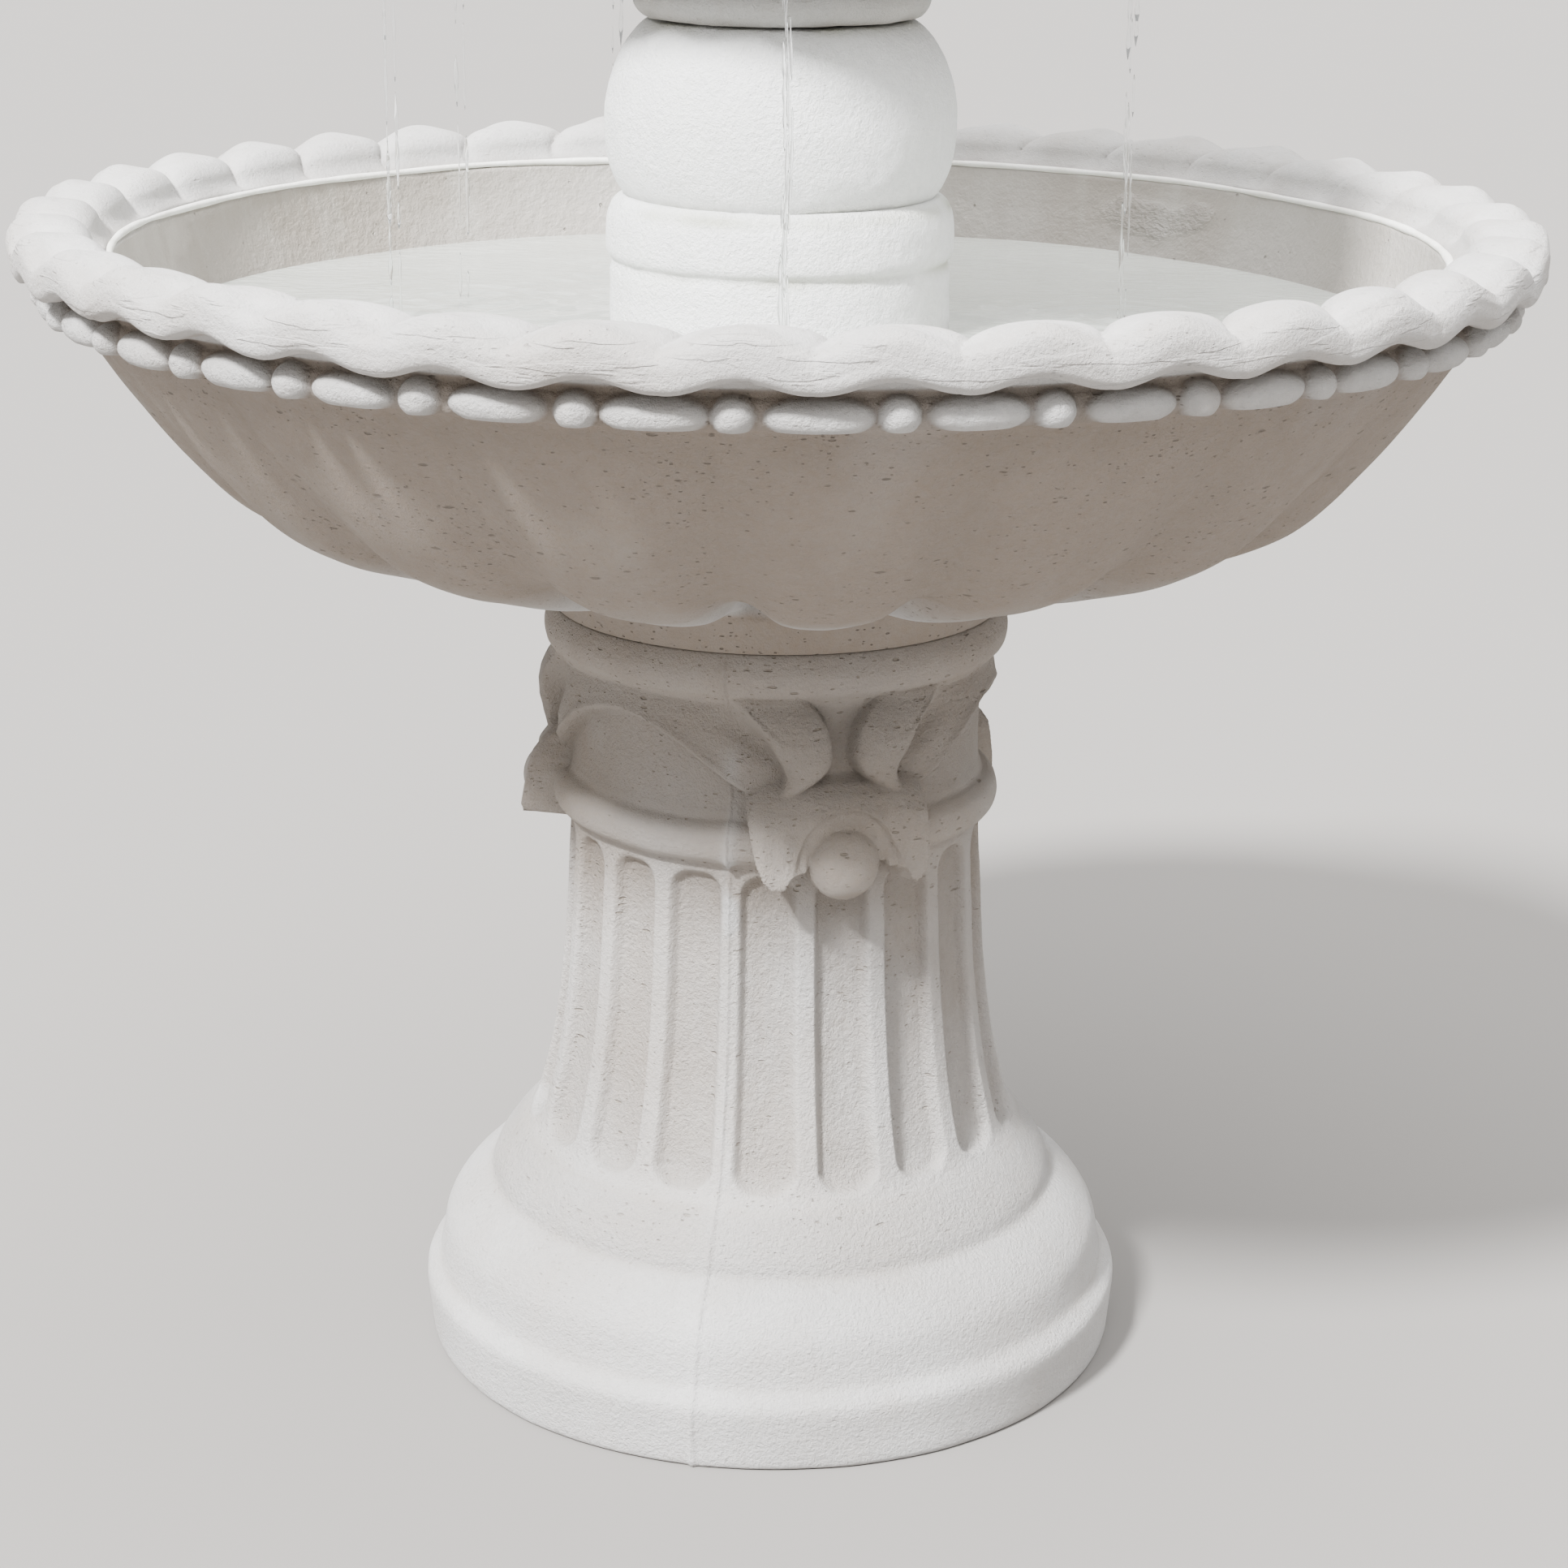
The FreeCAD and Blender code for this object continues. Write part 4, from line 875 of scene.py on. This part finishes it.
def cover_section():
    low, top = COVER_LOW[2], COVER_HIGH[2]
    r = COVER_RADIUS
    return half_section([
        (6.0, [(r - 10, low), (r, low)]),
        (2.0, [(r, low), (r, 655)]),
        (1.5, [(r, 655), (r - 1.2, 660), (r - 2.2, 662.6)]),
        (1.2, [(r - 2.2, 662.6), (r + 0.6, 665), (r + 1.9, 669), (r + 2.0, 679), (r + 1.2, 688),
               (r - 2, 695.5), (88, top), (85, 694)]),
        (4.0, [(85, 694), (62, 694)]),
        (4.0, [(62, 694), (62, 684)]),
        (6.0, [(62, 684), (78, 680), (r - 10, 664)]),
        (6.0, [(r - 10, 664), (r - 10, low)]),
    ])[:-1]


def bulb_section():
    low, top = 694.6, BULB_HIGH[2]
    return half_section([
        (1.6, [(81, low), (85.5, 696), (92, 704), (97.2, 718), (99.4, 736), (98.6, 752), (94, 770),
               (86, 784.5), (77.5, 793.5), (72, top)]),
        (4.0, [(72, top), (45, top)]),
        (4.0, [(45, top), (45, top - 10)]),
        (6.0, [(45, top - 10), (74, 776), (88, 748), (84, 720), (53, 703)]),
        (4.0, [(53, 703), (52, BULB_LOW[2])]),
        (3.0, [(52, BULB_LOW[2]), (61, BULB_LOW[2])]),
        (3.0, [(61, BULB_LOW[2]), (61, low)]),
        (4.0, [(61, low), (81, low)]),
    ])[:-1]


def upper_foot_section():
    """Ring and neck between the ball and the upper bowl."""
    low = BULB_HIGH[2] + 0.3
    top = UPPER_LOW[2] + 46.5
    return half_section([
        (3.0, [(40, low), (71, low)]),
        (1.2, [(71, low), (78, 797.5), (82.5, 803), (83.6, 810), (80.5, 817), (73.5, 820.5)]),
        (1.5, [(73.5, 820.5), (68.5, 823), (66.5, 828), (67.5, top)]),
        (6.0, [(67.5, top), (40, top)]),
        (6.0, [(40, top), (40, low)]),
    ])[:-1]


def finial_section():
    z = FINIAL_LOW[2]
    top = FINIAL_HIGH[2]
    return half_section([
        (4.0, [(20, z), (43, z)]),
        (1.4, [(43, z), (44.5, z + 4), (43.5, z + 11), (38, z + 16), (33, z + 17.5)]),
        (1.4, [(33, z + 17.5), (26, z + 26), (23.5, z + 38), (26, z + 50), (32, z + 56)]),
        (1.4, [(32, z + 56), (41, z + 65), (45.5, z + 82), (44, z + 98), (37, z + 110), (30, z + 116)]),
        (1.2, [(30, z + 116), (36, z + 118.5), (38.5, z + 123), (36, z + 127.5), (33, z + 129)]),
        (1.4, [(33, z + 129), (24, z + 136), (22.5, z + 148), (19.5, z + 162), (13.5, z + 173), (9.5, top)]),
        (1.5, [(9.5, top), (7.3, top)]),
        (6.0, [(7.3, top), (7.3, z + 130)]),
        (3.0, [(7.3, z + 130), (9, z + 126)]),
        (8.0, [(9, z + 126), (9, z + 4)]),
        (3.0, [(9, z + 4), (20, z + 4)]),
        (2.0, [(20, z + 4), (20, z)]),
    ])[:-1]


# ------------------------------------------------------------------ water

# Where strands of water fall: degrees round the axis, distance from it, number of strands.
STREAMS = ((-91, 221, 3), (-113, 203, 2), (0.6, 222, 4), (97, 199, 3), (172, 215, 3), (-152, 214, 2))


def make_pool(name, inner, outer, level, streams, seed, body):
    """Water surface with slow waves and rings spreading from where the strands fall in."""
    radii = np.linspace(outer, inner, int((outer - inner) / 1.4))
    columns = 840
    phi = np.arange(columns) / columns * 2 * math.pi
    relief = Relief(seed, outer - radii, columns, math.pi * (inner + outer))
    rise = relief.noise(60.0, 2) * 0.5 + relief.noise(16.0, 2, 2.2) * 0.28
    x, y = radii[:, None] * np.sin(phi), -radii[:, None] * np.cos(phi)
    for angle, distance, strands in streams:
        at = math.radians(angle)
        away = np.hypot(x - distance * math.sin(at), y + distance * math.cos(at))
        rise = rise + 0.5 * strands ** 0.5 * np.sin(away / 3.4) * np.exp(-away / 34.0)
    radius = np.repeat(radii[:, None], columns, 1)
    piece = grid_mesh(name, radius, level + rise, False)
    return place(piece, body, "water", WATER)


def tube_points(path, radii, sides):
    """Rings of points along a path, for a closed tube."""
    turn = np.linspace(0, 2 * math.pi, sides, endpoint=False)
    rings = []
    for (x, y, z), r in zip(path, radii):
        rings.append(np.stack([x + r * np.cos(turn), y + r * np.sin(turn), np.full(sides, z)], axis=1))
    return rings


def make_falling_water():
    """Strands of water that break into drops on their way from the upper bowl's lip into the basin."""
    rng = np.random.default_rng(SEED + 11)
    top = (UPPER_LOW[2] + UPPER_HIGH[2]) / 2 + 62
    points, faces = [], []
    sides = 8
    for angle, distance, strands in STREAMS:
        for _ in range(strands):
            at = math.radians(angle + rng.uniform(-0.8, 0.8))
            out = distance + rng.uniform(-4, 4)
            z = top - rng.uniform(0, 10)
            while z > WATER_HEIGHT + 3:
                length = rng.uniform(14, 70)
                low = max(z - length, WATER_HEIGHT)
                count = max(5, int((z - low) / 2.5))
                t = np.linspace(0, 1, count)
                heights = z + (low - z) * t
                girth = rng.uniform(0.5, 1.15) * np.sin(np.pi * np.clip(t, 0.001, 0.999)) ** 0.35
                girth = girth * (1 + 0.35 * np.sin(heights / rng.uniform(2.0, 4.5)))
                lean = at + 0.004 * np.sin(heights / 23.0)
                path = np.stack([out * np.sin(lean), -out * np.cos(lean), heights], axis=1)
                add_tube(points, faces, tube_points(path, np.maximum(girth, 0.05), sides))
                z = low - rng.uniform(2, 22)
    mesh = bpy.data.meshes.new("falling_water")
    mesh.from_pydata((np.array(points) * MM).tolist(), [], faces)
    piece = finished_object("falling_water", mesh)
    return place(piece, "upper_bowl", "water", FALLING_WATER)


def add_tube(points, faces, rings):
    base = len(points)
    sides = len(rings[0])
    for ring in rings:
        points.extend(ring.tolist())
    for i in range(len(rings) - 1):
        for j in range(sides):
            a = base + i * sides + j
            b = base + i * sides + (j + 1) % sides
            faces.append((a, a + sides, b + sides, b))
    faces.append(tuple(base + j for j in range(sides)))
    faces.append(tuple(base + (len(rings) - 1) * sides + j for j in reversed(range(sides))))


# ------------------------------------------------------------------ stage, light and camera


FLOOR_TONE = (0.205, 0.195, 0.185)
SKY_STRENGTH = 0.45
KEY_STRENGTH = 15.0
KEY_ELEVATION = 47.5
KEY_AZIMUTH = 37.0
KEY_SPREAD = 8.0
OVERHEAD_STRENGTH = 9.0


def make_stage():
    bpy.ops.mesh.primitive_plane_add(size=60)
    floor = bpy.context.object
    floor.name = "floor"
    s = Shader("floor_paint", Roughness=0.9)
    s.set("Base Color", s.mixed(s.noise(3.0), FLOOR_TONE, tuple(1.03 * c for c in FLOOR_TONE)))
    floor.data.materials.append(s.material)
    world = bpy.data.worlds.new("studio")
    world.use_nodes = True
    back = world.node_tree.nodes["Background"]
    back.inputs["Color"].default_value = (1.0, 1.0, 1.0, 1.0)
    back.inputs["Strength"].default_value = SKY_STRENGTH
    bpy.context.scene.world = world


def add_sun(name, azimuth, elevation, spread, strength):
    """Soft distant light; azimuth is counted from the front towards the left."""
    data = bpy.data.lights.new(name, "SUN")
    data.angle = math.radians(spread)
    data.energy = strength
    lamp = bpy.data.objects.new(name, data)
    flat = math.cos(math.radians(elevation))
    towards = Vector((-math.sin(math.radians(azimuth)) * flat, -math.cos(math.radians(azimuth)) * flat,
                      math.sin(math.radians(elevation))))
    lamp.rotation_euler = towards.to_track_quat("Z", "Y").to_euler()
    lamp.location = towards * 4.0
    bpy.context.scene.collection.objects.link(lamp)


def make_lights():
    add_sun("key", KEY_AZIMUTH, KEY_ELEVATION, KEY_SPREAD, KEY_STRENGTH)
    add_sun("overhead", 10.0, 82.0, 100.0, OVERHEAD_STRENGTH)


CAMERA_DISTANCE = 1.925
CAMERA_HEIGHT = 0.9595
CAMERA_PITCH = 17.686
CAMERA_YAW = -0.163
CAMERA_ROLL = 0.566
CAMERA_LENS = 77.33


def make_camera():
    data = bpy.data.cameras.new("camera")
    data.lens = CAMERA_LENS
    data.sensor_width = 36.0
    data.clip_end = 100.0
    camera = bpy.data.objects.new("camera", data)
    turn = Matrix.Rotation(math.radians(CAMERA_YAW), 4, "Z")
    turn = turn @ Matrix.Rotation(math.radians(90 - CAMERA_PITCH), 4, "X")
    turn = turn @ Matrix.Rotation(math.radians(CAMERA_ROLL), 4, "Z")
    camera.matrix_world = Matrix.Translation((0, -CAMERA_DISTANCE, CAMERA_HEIGHT)) @ turn
    bpy.context.scene.collection.objects.link(camera)
    bpy.context.scene.camera = camera


# ------------------------------------------------------------------ build


def finish_cad_nodes():
    """The pump, seals and hose keep their CAD shapes and get real surfaces."""
    for row in frame["record"]["subparts"]:
        node = frame["nodes"][row["node"]]
        finish = NODE_FINISHES.get(row["material_slot"])
        if finish and not node.hide_render:
            node.data.materials.clear()
            node.data.materials.append(finish)


def build():
    make_camera()
    make_stage()
    make_lights()
    make_pedestal()
    make_bowl("lower_basin_casting", 1.0, 0.0, 1700, 2.2, "lower_bowl", "cast_stone", "lower_bowl")
    make_liner()
    seal = ring_bead("liner_sealant", 376.0, 670.6, 2.4, 1200, 9, 0.8)
    place(seal, "lower_bowl", "sealant", SEALANT, "liner_seal")
    make_turned("pump_cover_casting", cover_section(), 540, 31, "pump_cover", "post_stone", POST_STONE,
                "pump_cover", dirt_and_shade_heights=(662.0, 694.0))
    make_turned("post_ball_casting", bulb_section(), 540, 32, "post_bulb", "post_stone", POST_STONE,
                "post_bulb", dirt_and_shade_heights=(697.0, 796.0))
    make_pool("basin_water", COVER_RADIUS + 0.8, 362.5, WATER_HEIGHT, STREAMS, 7, "lower_bowl")
    make_falling_water()
    lift = UPPER_LOW[2] + 44.3 - 461.8 * UPPER_SCALE
    upper_level = 650.0 * UPPER_SCALE + lift
    make_pool("upper_water", 32.0, 376.0 * UPPER_SCALE, upper_level, ((0, 0, 9),), 12, "upper_bowl")
    make_bowl("upper_basin_casting", UPPER_SCALE, lift, 912, 2.2, "upper_bowl", "cast_stone", "upper_bowl")
    make_turned("upper_foot_casting", upper_foot_section(), 420, 33, "upper_bowl", "cast_stone", BOWL_STONE,
                "upper_bowl", lumps=0.3, dirt_and_shade_heights=(797.0, 822.0))
    make_turned("finial_casting", finial_section(), 300, 34, "finial", "post_stone", POST_STONE, "finial",
                lumps=0.3)
    finish_cad_nodes()


build()
